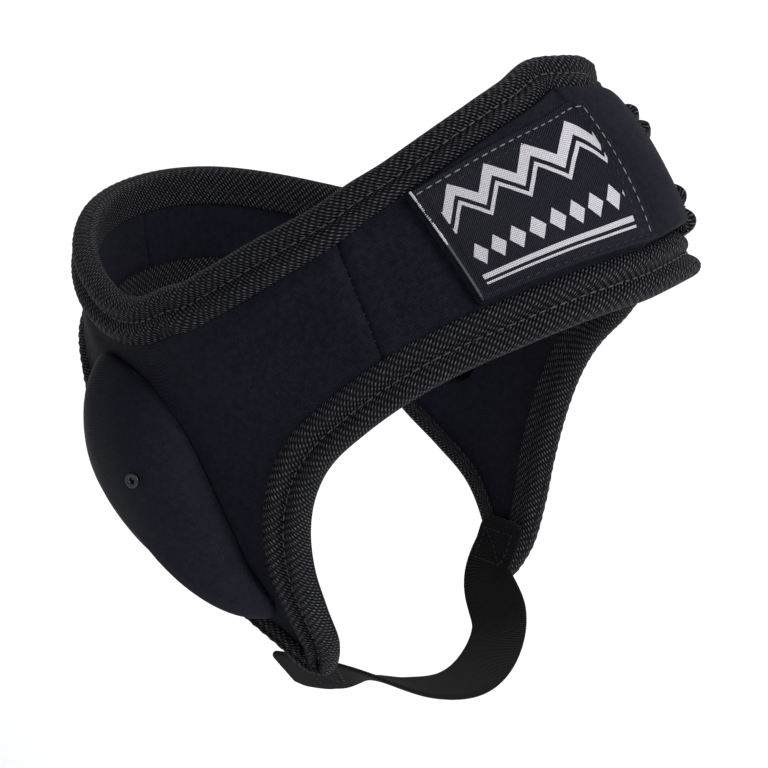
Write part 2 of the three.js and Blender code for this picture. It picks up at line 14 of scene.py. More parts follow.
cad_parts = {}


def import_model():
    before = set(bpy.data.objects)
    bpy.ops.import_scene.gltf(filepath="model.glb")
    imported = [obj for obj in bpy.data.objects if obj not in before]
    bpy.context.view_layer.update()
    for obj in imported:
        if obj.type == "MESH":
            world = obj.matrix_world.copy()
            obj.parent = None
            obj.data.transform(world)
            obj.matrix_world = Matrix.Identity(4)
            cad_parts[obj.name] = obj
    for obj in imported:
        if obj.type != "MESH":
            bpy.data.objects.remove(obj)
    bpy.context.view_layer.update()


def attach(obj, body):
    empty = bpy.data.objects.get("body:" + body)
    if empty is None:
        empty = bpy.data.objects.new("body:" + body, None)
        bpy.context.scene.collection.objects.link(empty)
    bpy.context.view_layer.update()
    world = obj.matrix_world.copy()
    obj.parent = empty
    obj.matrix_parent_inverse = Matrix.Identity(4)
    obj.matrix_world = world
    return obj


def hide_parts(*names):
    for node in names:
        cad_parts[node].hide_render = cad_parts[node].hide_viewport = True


log = logging.getLogger("ear_guard")
MM = 0.001
FRAME_PIXELS = 768.0
SHEEN_ROUGHNESS = 0.45


class Edge(Enum):
    """The two outer edges of the band."""

    UPPER = "upper"
    LOWER = "lower"


class Side(Enum):
    """The wearer's sides, as the sign of X."""

    RIGHT = -1
    LEFT = 1


def smoothstep(value: np.ndarray, low: float, high: float) -> np.ndarray:
    """Smooth rise from 0 at low to 1 at high.

    Args:
        value: Where to take it.
        low: Where the rise starts.
        high: Where it ends.

    Returns:
        The rise, of value's shape.
    """
    share = np.clip((np.asarray(value, float) - low) / (high - low), 0.0, 1.0)
    return share * share * (3.0 - 2.0 * share)


def unit(vectors: np.ndarray) -> np.ndarray:
    """Vectors scaled to length 1."""
    return vectors / np.maximum(np.linalg.norm(vectors, axis=-1, keepdims=True), 1e-9)


def bell(value: np.ndarray, centre: float, width: float) -> np.ndarray:
    """Bell curve of height 1 over its centre."""
    return np.exp(-((value - centre) / width) ** 2)


def run_lengths(points: np.ndarray) -> np.ndarray:
    """Length gone at each point of a path, from 0 at its first."""
    return np.concatenate([[0.0], np.cumsum(np.linalg.norm(np.diff(points, axis=0), axis=1))])


def sample(values: np.ndarray, where: np.ndarray, known: np.ndarray | None = None) -> np.ndarray:
    """Values between the points of a fine path.

    Args:
        values: One row for each point.
        where: Positions to read them at.
        known: Positions of the points, or their numbers where it is left out.

    Returns:
        One row for each position.
    """
    steps = np.arange(len(values)) if known is None else known
    return np.stack([np.interp(where, steps, column) for column in values.T], -1)


def spaced(points: np.ndarray, pitch: float) -> np.ndarray:
    """Positions at an even pitch along a fine path.

    Args:
        points: The fine path.
        pitch: Distance between positions.

    Returns:
        Positions as fractional point numbers.
    """
    gone = run_lengths(points)
    count = max(2, int(gone[-1] / pitch))
    middle = (np.arange(count) + 0.5) * gone[-1] / count
    return np.interp(middle, gone, np.arange(len(points)))


def add_object(name: str, data: bpy.types.ID) -> bpy.types.Object:
    """Adds an object to the scene.

    Args:
        name: Its name.
        data: Its mesh, light or camera.

    Returns:
        The object.
    """
    obj = bpy.data.objects.new(name, data)
    bpy.context.scene.collection.objects.link(obj)
    return obj


def evaluated_mesh(obj: bpy.types.Object) -> bpy.types.Mesh:
    """Plain mesh of an object with its modifiers applied."""
    graph = bpy.context.evaluated_depsgraph_get()
    return bpy.data.meshes.new_from_object(obj.evaluated_get(graph))


def cut_away(piece: bpy.types.Object, cutter: bpy.types.Object) -> bpy.types.Object:
    """Takes the cutter's shape out of a piece, and the cutter out of the scene.

    Args:
        piece: The piece.
        cutter: A closed object over the hole.

    Returns:
        The piece with its hole.
    """
    modifier = piece.modifiers.new("hole", "BOOLEAN")
    modifier.operation, modifier.object, modifier.solver = "DIFFERENCE", cutter, "EXACT"
    mesh = evaluated_mesh(piece)
    piece.modifiers.clear()
    piece.data = mesh
    bpy.data.objects.remove(cutter)
    return piece


# Geometry of the band


@dataclass(frozen=True)
class WornForm:
    """The form that the middle of the neoprene follows, in millimetres."""

    half_width: float = 75.5
    front: float = 105.0
    back: float = 96.0
    rise: float = 91.5
    drop: float = 146.0
    nape_drop: float = 78.0
    centre: float = 35.0

    def sizes(self, points: np.ndarray) -> tuple[np.ndarray, np.ndarray]:
        """Half length and half height of the form towards points.

        Args:
            points: Points, with coordinates on the last axis.

        Returns:
            Half lengths and half heights.
        """
        x, y, z = points[..., 0], points[..., 1], points[..., 2]
        length = np.where(y < 0, self.front, self.back)
        behind = np.maximum(0.0, y) / np.maximum(np.hypot(x, y), 1e-9)
        low = self.drop + (self.nape_drop - self.drop) * behind**2
        return length, np.where(z >= self.centre, self.rise, low)

    def onto(self, points: np.ndarray) -> np.ndarray:
        """Points moved onto the form, straight out from its middle.

        Args:
            points: Points off the form.

        Returns:
            Their places on it.
        """
        length, height = self.sizes(points)
        x, y, above = points[..., 0], points[..., 1], points[..., 2] - self.centre
        reach = np.sqrt((x / self.half_width) ** 2 + (y / length) ** 2 + (above / height) ** 2)
        return np.stack([x / reach, y / reach, self.centre + above / reach], -1)

    def outward(self, points: np.ndarray) -> np.ndarray:
        """Outward directions of the form at points.

        Args:
            points: Points on or near the form.

        Returns:
            Directions of length 1.
        """
        length, height = self.sizes(points)
        x, y, above = points[..., 0], points[..., 1], points[..., 2] - self.centre
        return unit(np.stack([x / self.half_width**2, y / length**2, above / height**2], -1))

    def at(self, turn: float, climb: float, side: int) -> np.ndarray:
        """A point of the form.

        Args:
            turn: Degrees round from the front.
            climb: Degrees up from the form's middle.
            side: -1 for the wearer's right, 1 for the left.

        Returns:
            The point.
        """
        round_, up = math.radians(turn), math.radians(climb)
        length = self.front if turn < 90 else self.back
        height = self.drop if climb < 0 else self.rise
        point = [
            side * self.half_width * math.sin(round_) * math.cos(up),
            -length * math.cos(round_) * math.cos(up),
            self.centre + math.sin(up) * height,
        ]
        return self.onto(np.array(point))


@dataclass(frozen=True)
class ClosedCurve:
    """Closed smooth curve through points, paced by the root of their distances."""

    points: np.ndarray

    def at(self, stations: np.ndarray) -> np.ndarray:
        """Points of the curve.

        Args:
            stations: Positions along it, one unit from point to point.

        Returns:
            Their places, with coordinates on the last axis.
        """
        count = len(self.points)
        whole = np.floor(stations).astype(int)
        part = (stations - whole)[..., None]
        p0, p1, p2, p3 = (self.points[(whole + k) % count] for k in (-1, 0, 1, 2))

        def step(a: np.ndarray, b: np.ndarray) -> np.ndarray:
            """Centripetal parameter step from a to b."""
            return np.sqrt(np.maximum(np.linalg.norm(b - a, axis=-1, keepdims=True), 1e-8))

        d0, d1, d2 = step(p0, p1), step(p1, p2), step(p2, p3)
        t1 = ((p1 - p0) / d0 - (p2 - p0) / (d0 + d1) + (p2 - p1) / d1) * d1
        t2 = ((p2 - p1) / d1 - (p3 - p1) / (d1 + d2) + (p3 - p2) / d2) * d1
        c2 = -3 * p1 + 3 * p2 - 2 * t1 - t2
        c3 = 2 * p1 - 2 * p2 + t1 + t2
        return p1 + t1 * part + c2 * part**2 + c3 * part**3


# Rows of the band from the forehead to the nape: turn and climb of its upper and lower edge
EDGE_ROWS = (
    (0, 69.9, 0, 24.6),
    (24.4, 66.8, 10, 24.3),
    (43.1, 61.3, 18.9, 23.1),
    (53.7, 55.7, 27.9, 20.6),
    (61.1, 50.2, 34.9, 17.7),
    (66.9, 44.9, 41.4, 14.3),
    (72.5, 39.5, 48, 9.6),
    (76.9, 34.1, 53.9, 3.8),
    (82, 28.5, 59.4, -2.3),
    (87.1, 22.7, 64.1, -7.7),
    (91.8, 17, 65.9, -12.7),
    (95.5, 12.9, 65.7, -18.3),
    (98.6, 9.5, 63.4, -24.4),
    (101.7, 7.3, 59.4, -30.4),
    (104.1, 5.3, 54.5, -37.2),
    (106.3, 3.3, 54.2, -42.9),
    (109.1, 1.3, 60.3, -43.4),
    (112.8, -0.3, 69.2, -39.2),
    (117.4, -1, 80.4, -34.8),
    (123.8, -1.3, 91.5, -32.2),
    (130.6, -1.3, 102.6, -29.6),
    (138.2, -1.1, 112.8, -25.7),
    (147, -0.8, 124.2, -21.1),
    (157, -0.5, 139.4, -18.9),
    (167.7, -0.4, 158.5, -18.3),
    (180, -0.4, 180, -18.3),
)

# Height by which each edge curls away from the form at the front: X, upper edge, lower edge
CURL_HEIGHTS = (
    (-26, 0, 0), (-12, 1.3, 0), (0, 3, 0), (6, 4, 0.3), (13, 5, 1), (20, 5.4, 1.9),
    (28, 4.6, 2.7), (33, 2.8, 3), (39, 1, 3), (44, 0.6, 3),
)


@dataclass
class Band:
    """Places on and near the band, in millimetres."""

    form: WornForm = field(default_factory=WornForm)
    nape_row: int = 25
    seam_row: float = 7.0
    front_panel_end: float = -3.6
    mouth_row: float = 3.15
    tongue_row: float = 1.7
    wall: float = 4.0
    inset: float = 3.8
    layer_gap: float = 0.35
    closing_lift: float = 5.35
    lift_x: tuple[float, float] = (42.0, 70.0)
    lift_z: tuple[float, float] = (20.0, 55.0)
    narrowing_share: float = 0.2
    narrowing_rows: tuple[float, float] = (5.0, 8.2)
    curl_start: float = 2.0
    curl_depth: float = 14.5
    curl_last_row: float = 3.0
    strap_inset: float = 15.4
    strap_raised: float = 5.35
    raising_rows: tuple[float, float] = (-1.3, 1.4)
    curves: dict[Edge, ClosedCurve] = field(default_factory=dict)

    def __post_init__(self) -> None:
        """Draws both edge curves through the rows, down one side and up the other."""
        for edge, first in ((Edge.UPPER, 0), (Edge.LOWER, 2)):
            right = [self.form.at(row[first], row[first + 1], -1) for row in EDGE_ROWS]
            left = [self.form.at(row[first], row[first + 1], 1) for row in EDGE_ROWS[-2:0:-1]]
            self.curves[edge] = ClosedCurve(np.array(right + left))

    def left(self, row: float) -> float:
        """Station of a row on the wearer's left side."""
        return 2 * self.nape_row - row

    def lift(self, stations: np.ndarray, points: np.ndarray) -> np.ndarray:
        """How far the closing band stands off the form at points.

        Args:
            stations: Stations of the points.
            points: Points of the form.

        Returns:
            Heights over the form.
        """
        forward = 1 - smoothstep(points[..., 0], *self.lift_x)
        high = self.closing_lift * forward * smoothstep(points[..., 2], *self.lift_z)
        return np.where((stations <= self.nape_row) | (points[..., 1] > 0), 0.0, high)

    def curl(self, upper: np.ndarray, stations: np.ndarray, points: np.ndarray,
             inset: np.ndarray) -> np.ndarray:
        """How far the front panel's left end curls out.

        Args:
            upper: Whether the nearer edge is the upper one.
            stations: Stations of the points.
            points: Points of the form.
            inset: Their distance from the nearer edge.

        Returns:
            Heights over the form.
        """
        table = np.array(CURL_HEIGHTS)
        high, low = (np.interp(points[..., 0], table[:, 0], table[:, k]) for k in (1, 2))
        fading = 1 - smoothstep(inset, self.curl_start, self.curl_depth)
        rise = np.where(upper, high, low) * fading
        return np.where(stations > self.curl_last_row, 0.0, rise)

    def edge_at(self, edge: Edge, stations: np.ndarray) -> np.ndarray:
        """Places on an outer edge, drawn in where the closing band is narrower.

        Args:
            edge: Which outer edge.
            stations: Stations along it.

        Returns:
            The places.
        """
        other = Edge.LOWER if edge is Edge.UPPER else Edge.UPPER
        here = self.form.onto(self.curves[edge].at(stations))
        there = self.form.onto(self.curves[other].at(stations))
        near = 1 - smoothstep(2 * self.nape_row - stations, *self.narrowing_rows)
        share = np.where(stations <= self.nape_row, 0.0, self.narrowing_share * near)[..., None]
        return self.form.onto(here + (there - here) * share)

    def from_edge(self, edge: Edge, stations: np.ndarray, inset: np.ndarray) -> np.ndarray:
        """Places on the form that lie inset square from an edge.

        Args:
            edge: Which outer edge.
            stations: Stations along it.
            inset: Distance in from it.

        Returns:
            The places.
        """
        here = self.edge_at(edge, stations)
        ahead = self.edge_at(edge, stations + 0.05) - self.edge_at(edge, stations - 0.05)
        inwards = unit(np.cross(self.form.outward(here), ahead))
        sign = 1.0 if edge is Edge.UPPER else -1.0
        return self.form.onto(here + inwards * (sign * np.asarray(inset, float))[..., None])

    def near_edge(self, edge: Edge, stations: np.ndarray, inset: np.ndarray,
                  rise: np.ndarray) -> np.ndarray:
        """Places near an edge, at a rise over the wall's middle.

        Args:
            edge: Which outer edge.
            stations: Stations along the band.
            inset: Distance in from the edge.
            rise: Height over the wall's middle.

        Returns:
            The places.
        """
        stations, inset, rise = np.broadcast_arrays(stations, inset, rise)
        moved = self.from_edge(edge, stations, inset)
        upper = np.full(stations.shape, edge is Edge.UPPER)
        off = self.lift(stations, moved) + self.curl(upper, stations, moved, inset)
        return moved + self.form.outward(moved) * (rise + off)[..., None]

    def across(self, stations: np.ndarray, share: np.ndarray, inset: float,
               rise: np.ndarray) -> np.ndarray:
        """Places across the band, from the upper edge at share 0 to the lower at 1.

        Args:
            stations: Stations along the band.
            share: How far across.
            inset: Distance of both ends from the outer edges.
            rise: Height over the wall's middle.

        Returns:
            The places.
        """
        stations, share, rise = np.broadcast_arrays(stations, share, rise)
        deep = np.full(stations.shape, inset)
        upper = self.from_edge(Edge.UPPER, stations, deep)
        lower = self.from_edge(Edge.LOWER, stations, deep)
        width = np.linalg.norm(lower - upper, axis=-1)
        middle = self.form.onto(upper + (lower - upper) * share[..., None])
        depth = inset + np.minimum(share, 1 - share) * width
        off = self.lift(stations, middle) + self.curl(share < 0.5, stations, middle, depth)
        return middle + self.form.outward(middle) * (rise + off)[..., None]

    def even_stations(self, edge: Edge, start: float, end: float, step: float) -> np.ndarray:
        """Stations that divide an edge into even lengths.

        Args:
            edge: Which outer edge.
            start: First station.
            end: Last station.
            step: Length between stations, in millimetres.

        Returns:
            The stations, ends included.
        """
        fine = np.linspace(start, end, 4001)
        length = run_lengths(self.edge_at(edge, fine))
        count = max(2, int(round(length[-1] / step)) + 1)
        return np.interp(np.linspace(0, length[-1], count), length, fine)

    def strap_foot(self, row: np.ndarray) -> np.ndarray:
        """Height of the front strap's underside at a row.

        Args:
            row: Rows along the band.

        Returns:
            Heights over the form.
        """
        flat = self.wall / 2 + self.layer_gap
        raised = smoothstep(-np.asarray(row, float), *self.raising_rows)
        return flat + (self.strap_raised - flat) * raised


# Meshes


@dataclass
class MeshDraft:
    """Points, faces and millimetre map coordinates on their way to being a mesh."""

    points: list[np.ndarray] = field(default_factory=list)
    faces: list[tuple[int, ...]] = field(default_factory=list)
    maps: list[np.ndarray] = field(default_factory=list)
    total: int = 0

    def add_grid(self, points: np.ndarray, maps: np.ndarray, flip: bool = False,
                 wrap: bool = False) -> np.ndarray:
        """Adds a grid of points with quads between them.

        Args:
            points: Grid of places, in millimetres.
            maps: Grid of map coordinates, in millimetres.
            flip: Whether its faces look the other way.
            wrap: Whether its second direction closes on itself.

        Returns:
            The grid of point numbers.
        """
        rows, columns = points.shape[:2]
        numbers = self.total + np.arange(rows * columns).reshape(rows, columns)
        self.points.append(points.reshape(-1, 3))
        self.maps.append(maps.reshape(-1, 2))
        self.total += rows * columns
        last = columns if wrap else columns - 1
        for i in range(rows - 1):
            for j in range(last):
                k = (j + 1) % columns
                quad = (numbers[i, j], numbers[i + 1, j], numbers[i + 1, k], numbers[i, k])
                self.add_face(quad[::-1] if flip else quad)
        return numbers

    def add_face(self, numbers: Iterable[int]) -> None:
        """Adds a face through points that are given by number."""
        self.faces.append(tuple(int(n) for n in numbers))

    def finish(self, name: str, material: bpy.types.Material,
               merge: float = 0.004) -> bpy.types.Object:
        """Turns the draft into an object at the origin.

        Args:
            name: The object's name.
            material: Its material.
            merge: Distance under which points become one, in millimetres.

        Returns:
            The object.
        """
        mesh = bpy.data.meshes.new(name)
        mesh.from_pydata((np.concatenate(self.points) * MM).tolist(), [], self.faces)
        layer = mesh.uv_layers.new(name="UVMap")
        maps = np.concatenate(self.maps)
        corner = np.zeros(len(mesh.loops), np.int32)
        mesh.loops.foreach_get("vertex_index", corner)
        layer.data.foreach_set("uv", (maps[corner] * MM).astype(np.float32).ravel())
        work = bmesh.new()
        work.from_mesh(mesh)
        bmesh.ops.remove_doubles(work, verts=work.verts, dist=merge * MM)
        bmesh.ops.recalc_face_normals(work, faces=work.faces)
        work.to_mesh(mesh)
        work.free()
        mesh.materials.append(material)
        mesh.polygons.foreach_set("use_smooth", [True] * len(mesh.polygons))
        return add_object(name, mesh)


@dataclass
class Slab:
    """A sheet with rounded borders between two faces."""

    rounding: float = 1.6
    border: int = 5

    def profile(self, count: int, width: float) -> tuple[np.ndarray, np.ndarray]:
        """Positions across a sheet and how thick it is there.

        Args:
            count: Number of positions on the flat middle.
            width: The sheet's width there, in millimetres.

        Returns:
            Shares from 0 to 1, and shares of the full thickness.
        """
        turn = np.linspace(0, math.pi / 2, self.border + 1)[:-1]
        near = (1 - np.cos(turn)) * self.rounding / width
        thick = np.sin(turn) ** 0.9
        middle = np.linspace(self.rounding / width, 1 - self.rounding / width, count)
        share = np.concatenate([near, middle, 1 - near[::-1]])
        return share, np.concatenate([thick, np.ones(count), thick[::-1]])


# Finishes


@dataclass
class Shader:
    """A material's node tree while it is being built."""

    name: str
    material: bpy.types.Material = field(init=False)

    def __post_init__(self) -> None:
        """Makes the material with an empty tree."""
        self.material = bpy.data.materials.new(self.name)
        self.material.use_nodes = True
        self.material.node_tree.nodes.clear()

    def node(self, kind: str, **inputs: object) -> bpy.types.Node:
        """Adds a node.

        Args:
            kind: Its type without the leading ShaderNode.
            **inputs: Settings by attribute name, or by input number as i0, i1 and so on.

        Returns:
            The node.
        """
        node = self.material.node_tree.nodes.new("ShaderNode" + kind)
        for key, value in inputs.items():
            if key[0] == "i" and key[1:].isdigit():
                self.feed(node.inputs[int(key[1:])], value)
            else:
                setattr(node, key, value)
        return node

    def feed(self, socket: bpy.types.NodeSocket, value: object) -> None:
        """Links a socket to another one, or sets its value.

        Args:
            socket: The input.
            value: Another socket or a plain value.
        """
        if isinstance(value, bpy.types.NodeSocket):
            self.material.node_tree.links.new(value, socket)
        else:
            socket.default_value = value

    def math(self, operation: str, first: object, second: object = 0.0,
             third: object = 0.0) -> bpy.types.NodeSocket:
        """Adds a Math node and gives its result."""
        node = self.node("Math", operation=operation, i0=first, i1=second, i2=third)
        return node.outputs[0]

    def wave(self, phase: bpy.types.NodeSocket) -> bpy.types.NodeSocket:
        """Smooth wave from 0 to 1, one period for each unit of phase."""
        turned = self.math("MULTIPLY", phase, 2 * math.pi)
        return self.math("MULTIPLY_ADD", self.math("SINE", turned), 0.5, 0.5)

    def blend(self, share: object, low: object, high: object) -> bpy.types.NodeSocket:
        """Mixes two colours.

        Args:
            share: How much of the light colour.
            low: The dark colour.
            high: The light colour.

        Returns:
            The mixed colour.
        """
        node = self.node("Mix", data_type="RGBA")
        self.feed(node.inputs[0], share)
        self.feed(node.inputs[6], low)
        self.feed(node.inputs[7], high)
        return node.outputs[2]

    def surface(self, colour: object, roughness: object, height: object, depth: float,
                sheen: float = 0.0, gloss: float = 0.35) -> bpy.types.Material:
        """Ends the tree in a bumped principled surface.

        Args:
            colour: Base colour.
            roughness: Roughness.
            height: Bump height from 0 to 1.
            depth: What a height of 1 stands for, in millimetres.
            sheen: Weight of the fibres' sheen.
            gloss: Level of the gloss on top.

        Returns:
            The material.
        """
        bump = self.node("Bump")
        bump.inputs["Strength"].default_value = 1.0
        bump.inputs["Distance"].default_value = depth * MM
        self.feed(bump.inputs["Height"], height)
        end = self.node("BsdfPrincipled")
        self.feed(end.inputs["Base Color"], colour)
        self.feed(end.inputs["Roughness"], roughness)
        end.inputs["Sheen Weight"].default_value = sheen
        end.inputs["Sheen Roughness"].default_value = SHEEN_ROUGHNESS
        end.inputs["Specular IOR Level"].default_value = gloss
        self.feed(end.inputs["Normal"], bump.outputs[0])
        out = self.node("OutputMaterial")
        self.feed(out.inputs[0], end.outputs[0])
        return self.material

    def map_mm(self) -> tuple[bpy.types.NodeSocket, bpy.types.NodeSocket]:
        """The piece's own map coordinates, in millimetres.

        Returns:
            Coordinates along the piece and across it.
        """
        split = self.node("SeparateXYZ", i0=self.node("UVMap", uv_map="UVMap").outputs[0])
        along = self.math("MULTIPLY", split.outputs[0], 1 / MM)
        return along, self.math("MULTIPLY", split.outputs[1], 1 / MM)

    def noise(self, scale: float, detail: float = 3.0) -> bpy.types.NodeSocket:
        """Noise over the object.

        Args:
            scale: Spots for each millimetre.
            detail: Number of finer layers.

        Returns:
            Values from 0 to 1.
        """
        place = self.node("TexCoord").outputs["Object"]
        node = self.node("TexNoise")
        self.feed(node.inputs["Vector"], place)
        node.inputs["Scale"].default_value = scale / MM
        node.inputs["Detail"].default_value = detail
        return node.outputs[0]


Colour = tuple[float, float, float, float]


@dataclass(frozen=True)
class Knit:
    """Fine jersey knit that faces the neoprene."""

    name: str
    dark: Colour = (0.0016, 0.0017, 0.0034, 1.0)
    light: Colour = (0.0165, 0.0176, 0.031, 1.0)
    wale: float = 0.62
    course: float = 0.5
    roughness: float = 0.74
    sheen: float = 0.012
    gloss: float = 0.05
    depth: float = 0.16

    def make(self) -> bpy.types.Material:
        """Builds the material: small V loops in columns, with flecks and broad tone changes.

        Returns:
            The material.
        """
        shader = Shader(self.name)
        along, over = shader.map_mm()
        column = shader.math("DIVIDE", along, self.wale)
        bend = shader.math("PINGPONG", column, 0.5)
        row = shader.math("ADD", shader.math("DIVIDE", over, self.course), bend)
        loops = shader.math("MULTIPLY", shader.wave(row), shader.wave(column))
        fleck = shader.noise(1.6, 4.0)
        tone = shader.noise(0.035, 2.0)
        height = shader.math("ADD", shader.math("MULTIPLY", loops, 0.75),
                             shader.math("MULTIPLY", fleck, 0.5))
        speckle = shader.math("MULTIPLY_ADD", shader.noise(0.55, 5.0), 3.4, -1.45)
        spots = shader.math("MULTIPLY", loops, shader.math("ADD", fleck, speckle))
        share = shader.math("MULTIPLY_ADD", spots, 0.8, shader.math("MULTIPLY", tone, 0.3))
        colour = shader.blend(share, self.dark, self.light)
        rough = shader.math("MULTIPLY_ADD", tone, 0.12, self.roughness - 0.06)
        return shader.surface(colour, rough, height, self.depth, self.sheen, self.gloss)


@dataclass(frozen=True)
class RibbedTape:
    """Woven edge tape with slanted ribs, each split into short floats, with a painted highlight on
    the rib tops.
    """

    name: str = "ribbed_tape"
    # dark is the tape's own near-black, deepened as painted shade in the grooves; light is a
    # painted highlight on the rib tops.
    dark: Colour = (0.0007, 0.0007, 0.001, 1.0)
    light: Colour = (0.17, 0.173, 0.205, 1.0)
    rib: float = 1.2
    float_length: float = 1.5
    slant: float = 0.8

    def make(self) -> bpy.types.Material:
        """Builds the material: slanted ribs, split into staggered floats, with a painted highlight
        on their tops and painted shade between them.

        Returns:
            The material.
        """
        shader = Shader(self.name)
        along, over = shader.map_mm()
        slanted = shader.math("MULTIPLY_ADD", over, self.slant, along)
        phase = shader.math("DIVIDE", slanted, self.rib)
        rib = shader.wave(phase)
        shifted = shader.math("MULTIPLY", shader.math("FLOOR", phase), 0.5)
        floats = shader.wave(shader.math("ADD", shader.math("DIVIDE", over, self.float_length),
                                         shifted))
        body = shader.math("POWER", rib, 0.8)
        height = shader.math("MULTIPLY", body, shader.math("MULTIPLY_ADD", floats, 0.6, 0.4))
        fuzz = shader.noise(1.1, 4.0)
        # Painted highlight: the light colour goes only where the ribs and floats stand highest.
        painted_rib_highlight = shader.math("POWER", height, 2.6)
        share = shader.math("MULTIPLY", painted_rib_highlight, shader.math("MULTIPLY_ADD", fuzz, 1.5, -0.25))
        colour = shader.blend(share, self.dark, self.light)
        rough = shader.math("MULTIPLY_ADD", height, -0.12, 0.66)
        return shader.surface(colour, rough, height, 0.6, 0.0, 0.06)


@dataclass(frozen=True)
class WovenLabel:
    """Satin twill label with a woven pattern of zigzags and lozenges."""

    name: str = "woven_label"
    ground_dark: Colour = (0.0015, 0.0015, 0.0025, 1.0)
    ground_light: Colour = (0.026, 0.027, 0.04, 1.0)
    figure_dark: Colour = (0.22, 0.21, 0.24, 1.0)
    figure_light: Colour = (0.66, 0.64, 0.68, 1.0)
    width: float = 62.0
    twill: float = 0.78
    margins: tuple[float, float] = (4.2, 7.5)
    first_turn: float = 1.6
    half_wave: float = 6.1
    steepness: float = 1.25
    zigzags: tuple[tuple[float, float], ...] = ((6.4, 2.3), (11.6, 0.9))
    stripes: tuple[tuple[float, float], ...] = ((36.6, 0.85), (38.9, 0.4))
    lozenge_line: float = 29.2
    lozenge_steepness: float = 1.55
    lozenge_half: float = 3.9

    def band(self, shader: Shader, over: object, centre: float, half: float) -> object:
        """Where the pattern's height lies within half of centre."""
        away = shader.math("ABSOLUTE", shader.math("SUBTRACT", over, centre))
        return shader.math("LESS_THAN", away, half)

    def figure(self, shader: Shader, along: object, over: object) -> object:
        """The pattern's light share: two zigzag bands over a row of lozenges and two stripes.

        Args:
            shader: The label's tree.
            along: Place along it.
            over: Place down it.

        Returns:
            1 in the figures and 0 in the ground.
        """
        place = shader.math("ADD", along, self.first_turn)
        swing = shader.math("PINGPONG", place, self.half_wave)
        level = shader.math("MULTIPLY_ADD", swing, -self.steepness, over)
        cell = shader.math("ABSOLUTE", shader.math("SUBTRACT", swing, self.half_wave / 2))
        tall = shader.math("ABSOLUTE", shader.math("SUBTRACT", over, self.lozenge_line))
        reach = shader.math("ADD", shader.math("MULTIPLY", cell, self.lozenge_steepness), tall)
        whole = shader.math("LESS_THAN", reach, self.lozenge_half)
        for height, lines in ((level, self.zigzags), (over, self.stripes)):
            for centre, half in lines:
                whole = shader.math("MAXIMUM", whole, self.band(shader, height, centre, half))
        side = shader.math("MULTIPLY", shader.math("GREATER_THAN", along, self.margins[0]),
                           shader.math("LESS_THAN", along, self.width - self.margins[1]))
        return shader.math("MULTIPLY", whole, side)

    def make(self) -> bpy.types.Material:
        """Builds the material, with twill lines that turn over in the light figures.

        Returns:
            The material.
        """
        shader = Shader(self.name)
        along, over = shader.map_mm()
        figure = self.figure(shader, along, over)
        down = shader.wave(shader.math("DIVIDE", shader.math("ADD", along, over), self.twill))
        up = shader.wave(shader.math("DIVIDE", shader.math("SUBTRACT", along, over), self.twill))
        fuzz = shader.noise(1.8, 4.0)
        ground = shader.blend(shader.math("MULTIPLY", down, fuzz), self.ground_dark,
                              self.ground_light)
        threads = shader.math("MULTIPLY_ADD", fuzz, 0.5, shader.math("MULTIPLY", up, 0.6))
        light = shader.blend(threads, self.figure_dark, self.figure_light)
        colour = shader.blend(figure, ground, light)
        lines = shader.math("ADD", shader.math("MULTIPLY", down, 0.5),
                            shader.math("MULTIPLY", figure, shader.math("ADD", up, 0.6)))
        rough = shader.math("MULTIPLY_ADD", figure, 0.14, 0.46)
        return shader.surface(colour, rough, lines, 0.22, 0.0, 0.05)


@dataclass(frozen=True)
class LoopPile:
    """Hook and loop webbing: short matted loops with a firm woven edge."""

    name: str = "loop_pile"
    dark: Colour = (0.0012, 0.0012, 0.0015, 1.0)
    light: Colour = (0.011, 0.011, 0.013, 1.0)
    width: float = 20.0
    firm_edge: float = 1.4
    weft: float = 0.7

    def make(self) -> bpy.types.Material:
        """Builds the material: loose pile between two flat woven edges.

        Returns:
            The material.
        """
        shader = Shader(self.name)
        along, over = shader.map_mm()
        pile = shader.noise(3.0, 6.0)
        weft = shader.wave(shader.math("DIVIDE", along, self.weft))
        away = shader.math("ABSOLUTE", shader.math("SUBTRACT", over, self.width / 2))
        edge = shader.math("GREATER_THAN", away, self.width / 2 - self.firm_edge)
        flat = shader.math("MULTIPLY", edge, weft)
        loose = shader.math("MULTIPLY", shader.math("SUBTRACT", 1.0, edge), pile)
        height = shader.math("ADD", flat, loose)
        colour = shader.blend(height, self.dark, self.light)
        return shader.surface(colour, 0.88, height, 0.4, 0.02, 0.06)


@dataclass(frozen=True)
class Thread:
    """Sewing thread."""

    name: str
    colour: Colour
    roughness: float = 0.5
    shade: float = 0.45

    def make(self) -> bpy.types.Material:
        """Builds the material, with a fine uneven twist.

        Returns:
            The material.
        """
        shader = Shader(self.name)
        fuzz = shader.noise(3.5, 3.0)
        shade = tuple(c * self.shade for c in self.colour[:3]) + (1.0,)
        colour = shader.blend(fuzz, shade, self.colour)
        return shader.surface(colour, self.roughness, fuzz, 0.08, 0.0, 0.2)


@dataclass(frozen=True)
class DullPlastic:
    """Moulded black plastic with faint scuffs."""

    name: str = "dull_plastic"
    dark: Colour = (0.003, 0.003, 0.004, 1.0)
    light: Colour = (0.016, 0.016, 0.018, 1.0)

    def make(self) -> bpy.types.Material:
        """Builds the material, duller where it is scuffed.

        Returns:
            The material.
        """
        shader = Shader(self.name)
        scuff = shader.noise(0.9, 5.0)
        colour = shader.blend(scuff, self.dark, self.light)
        rough = shader.math("MULTIPLY_ADD", scuff, 0.3, 0.22)
        return shader.surface(colour, rough, scuff, 0.04)


